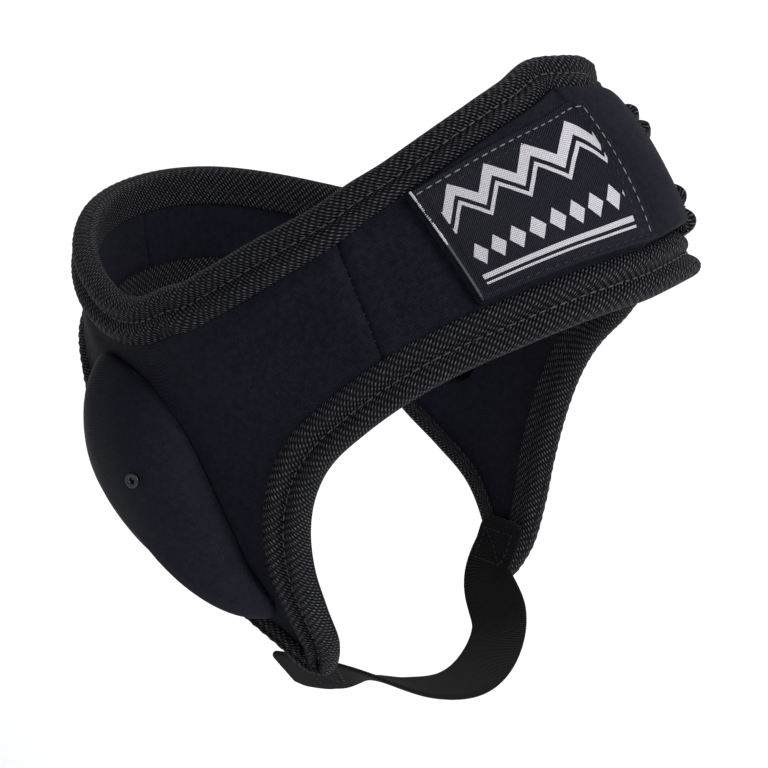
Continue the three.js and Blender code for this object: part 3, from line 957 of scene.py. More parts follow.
@dataclass(frozen=True)
class PaleFloor:
    """Matt pale studio floor."""

    name: str = "pale_floor"
    dark: Colour = (0.86, 0.86, 0.86, 1.0)
    light: Colour = (0.88, 0.88, 0.88, 1.0)

    def make(self) -> bpy.types.Material:
        """Builds the material, with the faintest change of tone.

        Returns:
            The material.
        """
        shader = Shader(self.name)
        tone = shader.noise(0.004, 2.0)
        colour = shader.blend(tone, self.dark, self.light)
        return shader.surface(colour, 0.85, tone, 0.02)


@dataclass
class Finishes:
    """All finishes, each made once."""

    knit: bpy.types.Material = field(default_factory=Knit("neoprene_knit").make)
    cup: bpy.types.Material = field(default_factory=Knit(
        "cup_knit", dark=(0.0024, 0.0026, 0.005, 1.0), light=(0.0115, 0.0124, 0.0215, 1.0),
        roughness=0.6, sheen=0.01, gloss=0.07, depth=0.1).make)
    tape: bpy.types.Material = field(default_factory=RibbedTape().make)
    label: bpy.types.Material = field(default_factory=WovenLabel().make)
    webbing: bpy.types.Material = field(default_factory=LoopPile().make)
    grey_thread: bpy.types.Material = field(
        default_factory=Thread("grey_thread", (0.07, 0.07, 0.082, 1.0)).make)
    # glint_thread is a lighter copy of the grey thread: its colour is a painted highlight for the
    # glints on the label's top and right stitches.
    glint_thread: bpy.types.Material = field(
        default_factory=Thread("glint_thread", (0.2, 0.2, 0.22, 1.0)).make)
    black_thread: bpy.types.Material = field(
        default_factory=Thread("black_thread", (0.012, 0.012, 0.015, 1.0)).make)
    pale_thread: bpy.types.Material = field(
        default_factory=Thread("pale_thread", (0.5, 0.49, 0.5, 1.0)).make)
    plastic: bpy.types.Material = field(default_factory=DullPlastic().make)


# Stitches


@dataclass
class StitchRow:
    """Stitches along a path, made by Geometry Nodes from points that know their directions."""

    name: str
    length: float = 2.3
    width: float = 0.55
    height: float = 0.4
    spread: float = 0.12
    seed: int = 3

    def tree(self, material: bpy.types.Material) -> bpy.types.NodeTree:
        """Builds the node tree: one rounded stitch on each point, laid along its path.

        Args:
            material: The thread.

        Returns:
            The tree.
        """
        tree = bpy.data.node_groups.new(self.name + "_tree", "GeometryNodeTree")
        face = tree.interface
        face.new_socket("Geometry", in_out="INPUT", socket_type="NodeSocketGeometry")
        for label in ("Length", "Width", "Height"):
            face.new_socket(label, in_out="INPUT", socket_type="NodeSocketFloat")
        face.new_socket("Geometry", in_out="OUTPUT", socket_type="NodeSocketGeometry")
        nodes, links = tree.nodes, tree.links
        start, end = nodes.new("NodeGroupInput"), nodes.new("NodeGroupOutput")
        bead = nodes.new("GeometryNodeMeshUVSphere")
        bead.inputs["Segments"].default_value = 8
        bead.inputs["Rings"].default_value = 5
        bead.inputs["Radius"].default_value = 0.5
        size = nodes.new("ShaderNodeCombineXYZ")
        for number, label in enumerate(("Length", "Width", "Height")):
            links.new(start.outputs[label], size.inputs[number])
        stretch = nodes.new("GeometryNodeTransform")
        links.new(bead.outputs["Mesh"], stretch.inputs["Geometry"])
        links.new(size.outputs[0], stretch.inputs["Scale"])
        turn = None
        for axis, pivot, attribute in (("X", "AUTO", "along"), ("Z", "X", "out")):
            read = nodes.new("GeometryNodeInputNamedAttribute")
            read.data_type = "FLOAT_VECTOR"
            read.inputs["Name"].default_value = attribute
            aim = nodes.new("FunctionNodeAlignRotationToVector")
            aim.axis, aim.pivot_axis = axis, pivot
            links.new(read.outputs["Attribute"], aim.inputs["Vector"])
            if turn is not None:
                links.new(turn.outputs[0], aim.inputs["Rotation"])
            turn = aim
        vary = nodes.new("FunctionNodeRandomValue")
        vary.data_type = "FLOAT"
        vary.inputs[2].default_value = 1.0 - self.spread
        vary.inputs[3].default_value = 1.0 + self.spread
        vary.inputs["Seed"].default_value = self.seed
        place = nodes.new("GeometryNodeInstanceOnPoints")
        links.new(start.outputs["Geometry"], place.inputs["Points"])
        links.new(stretch.outputs[0], place.inputs["Instance"])
        links.new(turn.outputs[0], place.inputs["Rotation"])
        links.new(vary.outputs[1], place.inputs["Scale"])
        real = nodes.new("GeometryNodeRealizeInstances")
        smooth = nodes.new("GeometryNodeSetShadeSmooth")
        paint = nodes.new("GeometryNodeSetMaterial")
        paint.inputs["Material"].default_value = material
        links.new(place.outputs[0], real.inputs[0])
        links.new(real.outputs[0], smooth.inputs[0])
        links.new(smooth.outputs[0], paint.inputs[0])
        links.new(paint.outputs[0], end.inputs[0])
        return tree

    def sew(self, path: np.ndarray, outward: np.ndarray, along: np.ndarray,
            material: bpy.types.Material) -> bpy.types.Object:
        """Sews stitches on points.

        Args:
            path: Middles of the stitches, in millimetres.
            outward: Directions away from the cloth.
            along: Directions of the stitches.
            material: The thread.

        Returns:
            The finished object.
        """
        mesh = bpy.data.meshes.new(self.name + "_points")
        mesh.from_pydata((path * MM).tolist(), [], [])
        for label, values in (("along", along), ("out", outward)):
            layer = mesh.attributes.new(label, "FLOAT_VECTOR", "POINT")
            layer.data.foreach_set("vector", values.astype(np.float32).ravel())
        holder = add_object(self.name + "_points", mesh)
        tree = self.tree(material)
        modifier = holder.modifiers.new("stitches", "NODES")
        modifier.node_group = tree
        sizes = {"Length": self.length, "Width": self.width, "Height": self.height}
        for item in tree.interface.items_tree:
            if item.in_out == "INPUT" and item.name in sizes:
                modifier[item.identifier] = sizes[item.name] * MM
        bpy.context.view_layer.update()
        made = evaluated_mesh(holder)
        bpy.data.objects.remove(holder)
        return add_object(self.name, made)

    def follow(self, path: np.ndarray, away: np.ndarray, pitch: float,
               material: bpy.types.Material, along: np.ndarray | None = None) -> bpy.types.Object:
        """Sews stitches at an even pitch along a path.

        Args:
            path: The fine path, in millimetres.
            away: Directions away from the cloth at its points.
            pitch: Distance between stitches.
            material: The thread.
            along: Directions of the stitches, or the path's own where it is left out.

        Returns:
            The finished object.
        """
        where = spaced(path, pitch)
        way = np.gradient(path, axis=0) if along is None else along
        return self.sew(sample(path, where), unit(sample(away, where)), unit(sample(way, where)),
                        material)


def dress(obj: bpy.types.Object, slot: str, *nodes: str) -> bpy.types.Object:
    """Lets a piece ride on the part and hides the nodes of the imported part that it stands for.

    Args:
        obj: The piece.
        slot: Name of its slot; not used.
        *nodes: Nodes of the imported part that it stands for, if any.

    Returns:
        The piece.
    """
    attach(obj, "root")
    if nodes:
        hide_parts(*nodes)
    log.info("%s: %d faces", obj.name, len(obj.data.polygons))
    return obj


# Pieces


@dataclass
class NeopreneSheet:
    """A neoprene piece of the band between two stations, with rounded borders."""

    band: Band
    name: str
    start: float
    end: float
    step: float = 1.3
    columns: int = 44
    rounding: float = 1.5
    end_rounding: float = 2.7
    map_width: float = 62.0
    inner_map: float = 200.0
    puff: float = 0.45
    hollow: float = 0.3
    pucker: float = 0.16
    roll: float = 0.5
    waviness: float = 0.16
    seam_pitch: float = 2.6

    def grid(self) -> tuple[np.ndarray, np.ndarray, np.ndarray, np.ndarray]:
        """Stations, shares across, thickness shares and lengths of the sheet's grid.

        Returns:
            Four arrays: stations, shares, thickness shares and lengths along, as grids.
        """
        edge = Edge.LOWER if self.start < 0 else Edge.UPPER
        stations = self.band.even_stations(edge, self.start, self.end, self.step)
        middle = self.band.across(stations, np.full(stations.shape, 0.5), self.band.inset, 0.0)
        gone = run_lengths(middle)
        share, thick = Slab(self.end_rounding, 7).profile(len(stations), gone[-1])
        lengths = share * gone[-1]
        stations = np.interp(lengths, gone, stations)
        over, over_thick = Slab(self.rounding).profile(self.columns, 60.0)
        grids = np.meshgrid(stations, over, indexing="ij")
        thickness = np.outer(thick, over_thick)
        return grids[0], grids[1], thickness, np.repeat(lengths[:, None], len(over), axis=1)

    def relief(self, share: np.ndarray, lengths: np.ndarray) -> np.ndarray:
        """Soft rises and dips of the outer face.

        Args:
            share: Shares across.
            lengths: Lengths along, in millimetres.

        Returns:
            Heights to add, in millimetres.
        """
        across = share * self.map_width
        near = np.minimum(share, 1 - share) * self.map_width
        swell = self.puff * bell(near, 15.5, 3.6) - self.hollow * bell(near, 11.0, 1.6)
        ends = np.minimum(lengths, lengths.max() - lengths)
        pucker = self.pucker * np.cos(2 * math.pi * across / self.seam_pitch) * np.exp(-ends / 1.8)
        roll = self.roll * bell(ends, 5.0, 2.6)
        slow = np.sin(lengths / 9.7 + 5.1 * share) * np.sin(lengths / 23.0 - 7.0 * share + 1.0)
        waves = self.waviness * slow
        return swell + pucker + roll + waves

    def places(self, stations: np.ndarray, share: np.ndarray, rise: np.ndarray) -> np.ndarray:
        """Places of the sheet's points at a rise over the wall's middle."""
        return self.band.across(stations, share, self.band.inset, rise)

    def build(self, material: bpy.types.Material) -> bpy.types.Object:
        """Builds the sheet as one closed mesh.

        Args:
            material: Its knit.

        Returns:
            The finished object.
        """
        stations, share, thick, lengths = self.grid()
        half = self.band.wall / 2
        relief = self.relief(share, lengths)
        maps = np.stack([lengths, share * self.map_width], -1)
        draft = MeshDraft()
        draft.add_grid(self.places(stations, share, thick * (half + relief)), maps)
        draft.add_grid(self.places(stations, share, -half * thick), maps + self.inner_map,
                       flip=True)
        return draft.finish(self.name, material)


@dataclass
class ClosingBand(NeopreneSheet):
    """The narrow left front end, which thins to a tongue under the front strap."""

    tongue_low: float = 3.1
    tongue_high: float = 5.0
    squeeze: float = 0.09

    def build(self, material: bpy.types.Material) -> bpy.types.Object:
        """Builds the band with its tongue as one closed mesh.

        Args:
            material: Its knit.

        Returns:
            The finished object.
        """
        stations, share, thick, lengths = self.grid()
        band = self.band
        mouth = band.left(band.mouth_row)
        thin = smoothstep(stations, mouth - 0.2, mouth + 0.05)
        half = band.wall / 2
        relief = self.relief(share, lengths) * (1 - thin)
        high = half + relief + (self.tongue_high - band.closing_lift - half) * thin
        low = -half + (self.tongue_low - band.closing_lift + half) * thin
        middle = (high + low) / 2
        maps = np.stack([lengths, share * self.map_width], -1)
        squeezed = 0.5 + (share - 0.5) * (1 - self.squeeze * thin)
        draft = MeshDraft()
        for face, far, flip in ((high, 0.0, False), (low, self.inner_map, True)):
            rise = middle + (face - middle) * thick
            draft.add_grid(self.places(stations, squeezed, rise), maps + far, flip=flip)
        return draft.finish(self.name, material)


@dataclass
class SidePanel(NeopreneSheet):
    """A side panel, cut open over the ear."""

    side: Side = Side.RIGHT
    opening_y: float = 14.0
    opening_z: float = -8.0
    opening_long: float = 17.0
    opening_high: float = 10.5
    opening_tilt: float = -0.5
    cutter_from: float = 50.0
    cutter_to: float = 110.0
    cutter_turns: int = 72

    def open_ear(self, panel: bpy.types.Object) -> bpy.types.Object:
        """Cuts the ear opening through the panel.

        Args:
            panel: The panel's object.

        Returns:
            The panel with its opening.
        """
        count = self.cutter_turns
        turn = np.linspace(0, 2 * math.pi, count, endpoint=False)
        a, b = self.opening_long * np.cos(turn), self.opening_high * np.sin(turn)
        c, s = math.cos(self.opening_tilt), math.sin(self.opening_tilt)
        y, z = self.opening_y + a * c + b * s, self.opening_z - a * s + b * c
        rings = [np.stack([np.full(count, x * self.side.value), y, z], -1)
                 for x in (self.cutter_from, self.cutter_to)]
        draft = MeshDraft()
        for ring in draft.add_grid(np.stack(rings), np.zeros((2, count, 2)), wrap=True):
            draft.add_face(ring)
        return cut_away(panel, draft.finish(self.name + "_cutter", panel.data.materials[0]))

    def build(self, material: bpy.types.Material) -> bpy.types.Object:
        """Builds the panel and opens it over the ear."""
        return self.open_ear(super().build(material))


# Section of the edge tape: inset from the outer edge and rise over the wall's middle
TAPE_SECTION = (
    (0.0, 0.2), (0.5, 2.3), (1.9, 4.1), (3.8, 4.85), (5.7, 4.15), (6.8, 3.0), (7.4, 2.52),
    (8.0, 3.0), (9.2, 4.2), (11.0, 4.9), (12.9, 4.2), (14.2, 2.9), (14.5, 2.4),
    (13.6, 2.22), (8.0, 2.2), (4.4, 2.25), (3.45, 1.6), (3.4, 0.0), (3.45, -1.6), (4.4, -2.2),
    (8.0, -2.22), (11.7, -2.3), (12.2, -2.6), (11.6, -2.98), (7.4, -2.85), (3.4, -3.1),
    (1.3, -2.6), (0.3, -1.3),
)


@dataclass
class EdgeTape:
    """Woven tape folded over one edge of the band and sewn down its middle."""

    band: Band
    name: str
    edge: Edge
    depths: tuple[tuple[float, float], ...]
    step: float = 0.95
    groove: float = 7.4
    stitch_pitch: float = 3.3
    stitch_rises: tuple[float, float] = (2.8, -3.0)
    around: int = 58
    folded_inset: float = 3.3
    pucker: float = 0.16
    pinch: float = 0.12
    waviness: float = 0.14
    end_length: float = 1.9
    core: tuple[float, float] = (7.0, 0.55)

    def depth(self, stations: np.ndarray) -> np.ndarray:
        """Share of the tape's depth that shows at stations.

        Args:
            stations: Stations along the band.

        Returns:
            Shares from 0 to 1.
        """
        rows = np.where(stations <= self.band.nape_row, np.abs(stations),
                        2 * self.band.nape_row - stations)
        return np.interp(rows, [d[0] for d in self.depths], [d[1] for d in self.depths])

    def fold(self, stations: np.ndarray, inset: np.ndarray) -> np.ndarray:
        """Insets drawn in where the tape shows less of its depth."""
        covered = np.maximum(0.0, inset - self.folded_inset)
        return inset - covered * (1 - self.depth(stations))

    def stations(self) -> np.ndarray:
        """Stations at even lengths over the whole tape.

        Returns:
            The stations.
        """
        band = self.band
        return band.even_stations(self.edge, band.front_panel_end, band.left(band.mouth_row),
                                  self.step)

    def build(self, material: bpy.types.Material) -> bpy.types.Object:
        """Sweeps the section along the edge, with puckers at the stitches and closed ends.

        Args:
            material: The woven tape.

        Returns:
            The finished object.
        """
        section = ClosedCurve(np.array([(a, b, 0.0) for a, b in TAPE_SECTION]))
        ring = section.at(np.linspace(0, len(TAPE_SECTION), self.around, endpoint=False))
        gone = np.cumsum(np.linalg.norm(np.diff(ring, axis=0, prepend=ring[-1:]), axis=1))
        stations = self.stations()
        length = run_lengths(self.band.edge_at(self.edge, stations))
        grid_s, inset = np.meshgrid(stations, ring[:, 0], indexing="ij")
        grid_l, rise = np.meshgrid(length, ring[:, 1], indexing="ij")
        wave = np.cos(2 * math.pi * grid_l / self.stitch_pitch)
        outer = np.where(rise > 2.5, 1.0, 0.0)
        dip = bell(inset, self.groove, 1.1)
        rise = rise + outer * (self.pucker * wave * (1 - dip) - self.pinch * wave * dip)
        slow = np.sin(grid_l / 7.3 + inset * 0.35) * np.sin(grid_l / 17.9)
        rise = rise + outer * self.waviness * slow
        ends = np.minimum(grid_l, grid_l[-1] - grid_l)
        near = np.clip(ends / self.end_length, 0, 1)
        close = np.sqrt(np.clip(1 - (1 - near) ** 2, 0.0, 1.0))
        inset = self.core[0] + (inset - self.core[0]) * (0.72 + 0.28 * close)
        rise = self.core[1] + (rise - self.core[1]) * (0.35 + 0.65 * close)
        places = self.band.near_edge(self.edge, grid_s, self.fold(grid_s, inset), rise)
        maps = np.stack([grid_l, np.repeat(gone[None, :], len(stations), axis=0)], -1)
        draft = MeshDraft()
        numbers = draft.add_grid(places, maps, wrap=True)
        for end in (numbers[0], numbers[-1][::-1]):
            draft.add_face(end)
        return draft.finish(self.name, material, merge=0.0001)

    def sew(self, finishes: "Finishes") -> list[bpy.types.Object]:
        """Sews both faces of the tape down its groove.

        Args:
            finishes: All finishes.

        Returns:
            The rows of stitches.
        """
        rows = []
        fine = self.stations()
        faces = (("outer", self.stitch_rises[0], finishes.grey_thread),
                 ("inner", self.stitch_rises[1], finishes.black_thread))
        for face, rise, thread in faces:
            inset = self.fold(fine, np.full(fine.shape, self.groove))
            path = self.band.near_edge(self.edge, fine, inset, np.full(fine.shape, rise))
            away = path - self.band.near_edge(self.edge, fine, inset, np.zeros(fine.shape))
            row = StitchRow(f"{self.name}_stitches_{face}", length=2.5, width=0.5, height=0.42)
            rows.append(row.follow(path, away, self.stitch_pitch, thread))
        return rows


# Outline of an ear cup where it meets the panel: turn and climb, round from its rear upper end
CUP_OUTLINE = (
    (117, -9.2), (109, -7.9), (101.5, -8.2), (95.5, -9.8), (89.5, -12.8), (84.5, -17.4),
    (80.3, -21.7), (75.8, -26.6), (70, -31), (69.6, -33.4), (79.7, -30.7), (90.7, -28.3),
    (102, -24.6), (110.8, -20.3), (117.8, -14.7),
)


@dataclass
class EarCup:
    """A smooth hollow dome over an ear, with its vent eyelet."""

    band: Band
    side: Side
    height: float = 16.8
    wall: float = 2.4
    inner_scale: float = 0.93
    lip: float = 0.7
    centre: tuple[float, float] = (96.0, -21.5)
    rings: int = 42
    spokes: int = 132
    map_half: tuple[float, float] = (40.0, 25.0)
    map_place: float = 300.0
    inner_map: float = 200.0
    eyelet_ring: float = 0.46
    eyelet_spoke: float = 0.225
    eyelet_outer: float = 1.5
    eyelet_bore: float = 0.85
    eyelet_flange: float = 2.3
    flange_rounding: float = 0.35
    clearance: float = 0.3

    @property
    def word(self) -> str:
        """The side's plain word."""
        return "right" if self.side is Side.RIGHT else "left"

    def rise(self, ring: np.ndarray) -> np.ndarray:
        """Share of the cup's height from its rim at ring 1 to its top at ring 0."""
        return np.maximum(0.0, 1 - ring**2.6) ** 0.7

    def places(self, ring: np.ndarray, spoke: np.ndarray, height: np.ndarray) -> np.ndarray:
        """Places over the cup's base.

        Args:
            ring: Shares from the middle out to the rim.
            spoke: Shares round the outline.
            height: Heights over the form.

        Returns:
            The places.
        """
        form = self.band.form
        curve = ClosedCurve(np.array([form.at(t, c, self.side.value) for t, c in CUP_OUTLINE]))
        rim = curve.at(spoke * len(CUP_OUTLINE))
        middle = form.at(*self.centre, self.side.value)
        base = form.onto(middle + (rim - middle) * ring[..., None])
        return base + form.outward(base) * np.asarray(height)[..., None]

    def foot(self) -> float:
        """Height of the cup's rim over the form."""
        return self.band.wall / 2 + self.band.layer_gap

    def build(self, material: bpy.types.Material) -> bpy.types.Object:
        """Builds the dome as one closed shell with its vent hole cut through.

        Args:
            material: The knit that covers it.

        Returns:
            The finished object.
        """
        ring = np.sin(np.linspace(0, math.pi / 2, self.rings))
        spoke = np.linspace(0, 1, self.spokes, endpoint=False)
        grid_r, grid_s = np.meshgrid(ring, spoke, indexing="ij")
        draft = MeshDraft()
        round_ = 2 * math.pi * grid_s
        flat = np.stack([grid_r * self.map_half[0] * np.cos(round_),
                         grid_r * self.map_half[1] * np.sin(round_)], -1) + self.map_place
        shells = []
        sides = ((1.0, self.height, False), (self.inner_scale, self.height - self.wall, True))
        for scale, top, flip in sides:
            heights = self.foot() + top * self.rise(grid_r)
            if not flip:
                heights = heights + self.lip * bell(1 - grid_r, 0.0, 0.05) * (grid_r < 0.999)
            points = self.places(grid_r * scale, grid_s, heights)
            maps = flat + self.inner_map * flip
            shells.append(draft.add_grid(points, maps, flip=flip, wrap=True))
        outer, inner = shells[0][-1], shells[1][-1]
        for j in range(self.spokes):
            k = (j + 1) % self.spokes
            draft.add_face((outer[j], outer[k], inner[k], inner[j]))
        cup = draft.finish(f"ear_cup_{self.word}_skin", material)
        return self.cut_vent(cup)

    def eyelet_place(self) -> Matrix:
        """Where the eyelet stands, with +Z outwards, in millimetres.

        Returns:
            Its place and turn.
        """
        steps = np.array([[0, 0], [0.03, 0], [0, 0.03]])
        ring, spoke = self.eyelet_ring + steps[:, 0], self.eyelet_spoke + steps[:, 1]
        heights = self.foot() + self.height * self.rise(ring)
        middle, along, round_ = self.places(ring, spoke, heights)
        away = unit(np.cross(along - middle, round_ - middle))
        away = away * (1.0 if away @ self.band.form.outward(middle) > 0 else -1.0)
        turn = Vector((0, 0, 1)).rotation_difference(Vector(away))
        return Matrix.Translation(Vector(middle)) @ turn.to_matrix().to_4x4()

    def lathe(self, profile: list[tuple[float, float]], name: str,
              material: bpy.types.Material, turns: int = 48) -> bpy.types.Object:
        """Turns a closed profile round the eyelet's axis.

        Args:
            profile: Radii and heights, closed on itself.
            name: The object's name.
            material: Its material.
            turns: Number of steps round.

        Returns:
            The finished object.
        """
        place = np.array(self.eyelet_place())
        angle = np.linspace(0, 2 * math.pi, turns, endpoint=False)
        rows = []
        for radius, height in profile + profile[:1]:
            local = np.stack([radius * np.cos(angle), radius * np.sin(angle),
                              np.full(turns, height), np.ones(turns)], -1)
            rows.append((local @ place.T)[:, :3])
        draft = MeshDraft()
        draft.add_grid(np.stack(rows), np.zeros((len(rows), turns, 2)), wrap=True)
        return draft.finish(name, material)

    def cut_vent(self, cup: bpy.types.Object) -> bpy.types.Object:
        """Cuts the vent hole through the dome.

        Args:
            cup: The dome's object.

        Returns:
            The dome with its hole.
        """
        core, radius, reach = 0.001, self.eyelet_outer + self.clearance, 8.0
        profile = [(core, -reach), (radius, -reach), (radius, reach), (core, reach)]
        return cut_away(cup, self.lathe(profile, "vent_cutter", cup.data.materials[0]))

    def eyelet(self, material: bpy.types.Material) -> bpy.types.Object:
        """Builds the eyelet with a rolled flange.

        Args:
            material: Its plastic.

        Returns:
            The finished object.
        """
        bore, outer, flange = self.eyelet_bore, self.eyelet_outer, self.eyelet_flange
        foot, edge = -self.wall - self.clearance, self.flange_rounding
        profile = [(bore, foot), (outer, foot), (outer, self.clearance)]
        turn = np.linspace(-math.pi / 2, math.pi / 2, 8)
        profile += [(flange - edge + edge * math.cos(t), 0.65 + edge * math.sin(t)) for t in turn]
        profile += [(bore + 0.5, 0.95), (bore + 0.2, 0.8), (bore, 0.45)]
        return self.lathe(profile, f"ear_eyelet_{self.word}_ring", material)


@dataclass
class FrontStrap:
    """The smooth neoprene overlay on the forehead, with the woven label sewn on it."""

    band: Band
    start_top: float = 4.95
    start_bottom: float = 4.55
    end: float = -2.95
    thickness: float = 2.5
    top_share: float = -0.07
    columns: int = 46
    rounding: float = 1.7
    width: float = 44.0
    map_width: float = 46.0
    inner_map: float = 100.0
    waviness: float = 0.18
    label_press: float = 0.35
    label_size: tuple[float, float] = (62.0, 44.0)
    label_thickness: float = 0.8
    label_sag: float = 0.1
    quilt_depth: float = 0.32
    stitch_sink: float = 0.12
    label_left: tuple[float, float, float, float] = (4.85, -0.06, 4.45, 0.97)
    label_right: tuple[float, float, float, float] = (-0.55, 0.09, -0.25, 0.985)
    stitch_pitch: float = 3.0

    def places(self, row: np.ndarray, share: np.ndarray, height: np.ndarray) -> np.ndarray:
        """Places over the strap's underside.

        Args:
            row: Rows along the band, below 0 on the wearer's left.
            share: Shares across.
            height: Heights over the underside.

        Returns:
            The places.
        """
        rise = self.band.strap_foot(row) + height
        return self.band.across(row, share, self.band.strap_inset, rise)

    def build(self, material: bpy.types.Material) -> bpy.types.Object:
        """Builds the overlay with rounded borders.

        Args:
            material: Its knit.

        Returns:
            The finished object.
        """
        stations = self.band.even_stations(Edge.UPPER, self.end, self.start_top, 1.1)
        middle = self.places(stations, np.full(stations.shape, 0.5), np.zeros(stations.shape))
        gone = run_lengths(middle)
        along, along_thick = Slab(self.rounding, 6).profile(110, gone[-1])
        over, over_thick = Slab(self.rounding, 6).profile(self.columns, self.width)
        row, share = np.meshgrid(np.interp(along * gone[-1], gone, stations), over, indexing="ij")
        reach = self.start_top + (self.start_bottom - self.start_top) * share
        row = self.end + (row - self.end) * (reach - self.end) / (self.start_top - self.end)
        length = np.repeat((along * gone[-1])[:, None], len(over), axis=1)
        across = self.top_share + (1 - self.top_share) * share
        thick = np.outer(along_thick, over_thick)
        label = smoothstep(row, -0.9, -0.5) * (1 - smoothstep(row, 4.7, 5.0))
        press = self.label_press * (bell(row, -1.7, 0.6) - label)
        slow = np.sin(length / 8.3 + 4 * share) * np.sin(length / 19.0 + 6 * share)
        waves = self.waviness * slow
        maps = np.stack([length, share * self.map_width], -1)
        draft = MeshDraft()
        high = self.thickness * thick + (press + waves) * thick
        draft.add_grid(self.places(row, across, high), maps)
        flat = np.zeros(row.shape)
        draft.add_grid(self.places(row, across, flat), maps + self.inner_map, flip=True)
        return draft.finish("front_strap_skin", material)

    def label_grid(self, along: np.ndarray, down: np.ndarray, height: np.ndarray) -> np.ndarray:
        """Places on the label.

        Args:
            along: Shares from its right end to its left end.
            down: Shares from its top to its bottom.
            height: Heights over its underside.

        Returns:
            The places.
        """
        left, right = self.label_left, self.label_right
        corner = [right[k] + (left[k] - right[k]) * along for k in range(4)]
        row = corner[0] + (corner[2] - corner[0]) * down
        share = corner[1] + (corner[3] - corner[1]) * down
        return self.places(row, share, self.thickness + self.band.layer_gap + height)

    def build_label(self, material: bpy.types.Material) -> bpy.types.Object:
        """Builds the label, slightly quilted by the stitches round its border.

        Args:
            material: Its satin weave.

        Returns:
            The finished object.
        """
        wide, high = self.label_size
        along, along_thick = Slab(0.5, 4).profile(96, wide)
        over, over_thick = Slab(0.5, 4).profile(64, high)
        grid_a, grid_d = np.meshgrid(along, over, indexing="ij")
        x, y = (1 - grid_a) * wide, grid_d * high
        border = np.minimum(np.minimum(x, wide - x), np.minimum(y, high - y))
        quilt = -self.quilt_depth * bell(border, 2.0, 0.9)
        quilt = quilt * (0.8 + 0.3 * np.cos(2 * math.pi * (x + y) / self.stitch_pitch))
        quilt = quilt + 0.15 * np.sin(x / 7.0 + 1) * np.sin(y / 6.0)
        thick = np.outer(along_thick, over_thick)
        maps = np.stack([x, y], -1)
        draft = MeshDraft()
        top, under = (self.label_thickness + quilt) * thick, -self.label_sag * thick
        draft.add_grid(self.label_grid(grid_a, grid_d, top), maps)
        draft.add_grid(self.label_grid(grid_a, grid_d, under), maps, flip=True)
        return draft.finish("label_patch_weave", material)

    def sew(self, finishes: "Finishes") -> list[bpy.types.Object]:
        """Sews the label down and lines its folded left edge with short thick stitches, pale in
        the upper half.

        Args:
            finishes: All finishes.

        Returns:
            The rows of stitches.
        """
        # The top and right rows use the glint thread, whose lighter colour is a painted highlight.
        runs = {
            "top": ((0.985, 0.045), (0.03, 0.045), finishes.glint_thread),
            "top_inner": ((0.985, 0.105), (0.05, 0.105), finishes.black_thread),
            "right": ((0.03, 0.045), (0.03, 0.96), finishes.glint_thread),
            "right_inner": ((0.095, 0.045), (0.095, 0.96), finishes.black_thread),
            "bottom": ((0.03, 0.96), (0.985, 0.96), finishes.black_thread),
            "left": ((0.992, 0.0), (0.992, 0.5), finishes.pale_thread),
            "left_low": ((0.992, 0.5), (0.992, 0.99), finishes.grey_thread),
        }
        rows = []
        for word, (first, last, thread) in runs.items():
            along, down = (np.linspace(first[k], last[k], 160) for k in (0, 1))
            height = np.full(along.shape, self.label_thickness - self.stitch_sink)
            path = self.label_grid(along, down, height)
            away = path - self.label_grid(along, down, np.full(along.shape, -1.0))
            name, folded = f"label_stitches_{word}", word.startswith("left")
            row = (StitchRow(name, length=0.9, width=0.85, height=0.5) if folded
                   else StitchRow(name, length=2.2, width=0.42, height=0.36))
            rows.append(row.follow(path, away, 0.62 if folded else self.stitch_pitch, thread))
        return rows


# Middles of the chin strap from its free end, each with the way its outer face looks
CHIN_ROUTE = (
    (-38.8, -22.6, -78.9, -0.77, 0, -0.64),
    (-38, -38.6, -72.8, -0.77, 0, -0.64),
    (-32, -50.5, -70.2, -0.65, -0.03, -0.7),
    (-18, -61, -74, -0.37, -0.1, -0.82),
    (0, -65, -77, 0, -0.2, -0.98),
    (18, -62, -76, 0.35, -0.22, -0.9),
    (33, -54, -71.5, 0.65, -0.28, -0.7),
)
# Its last middles, inside the left tip: turn and climb on the form, then the same direction
CHIN_LEFT_ROWS = (
    (57, -43.8, 0.84, -0.36, -0.4),
    (60.8, -39.2, 0.88, -0.32, -0.3),
    (63.5, -35.4, 0.9, -0.3, -0.28),
)


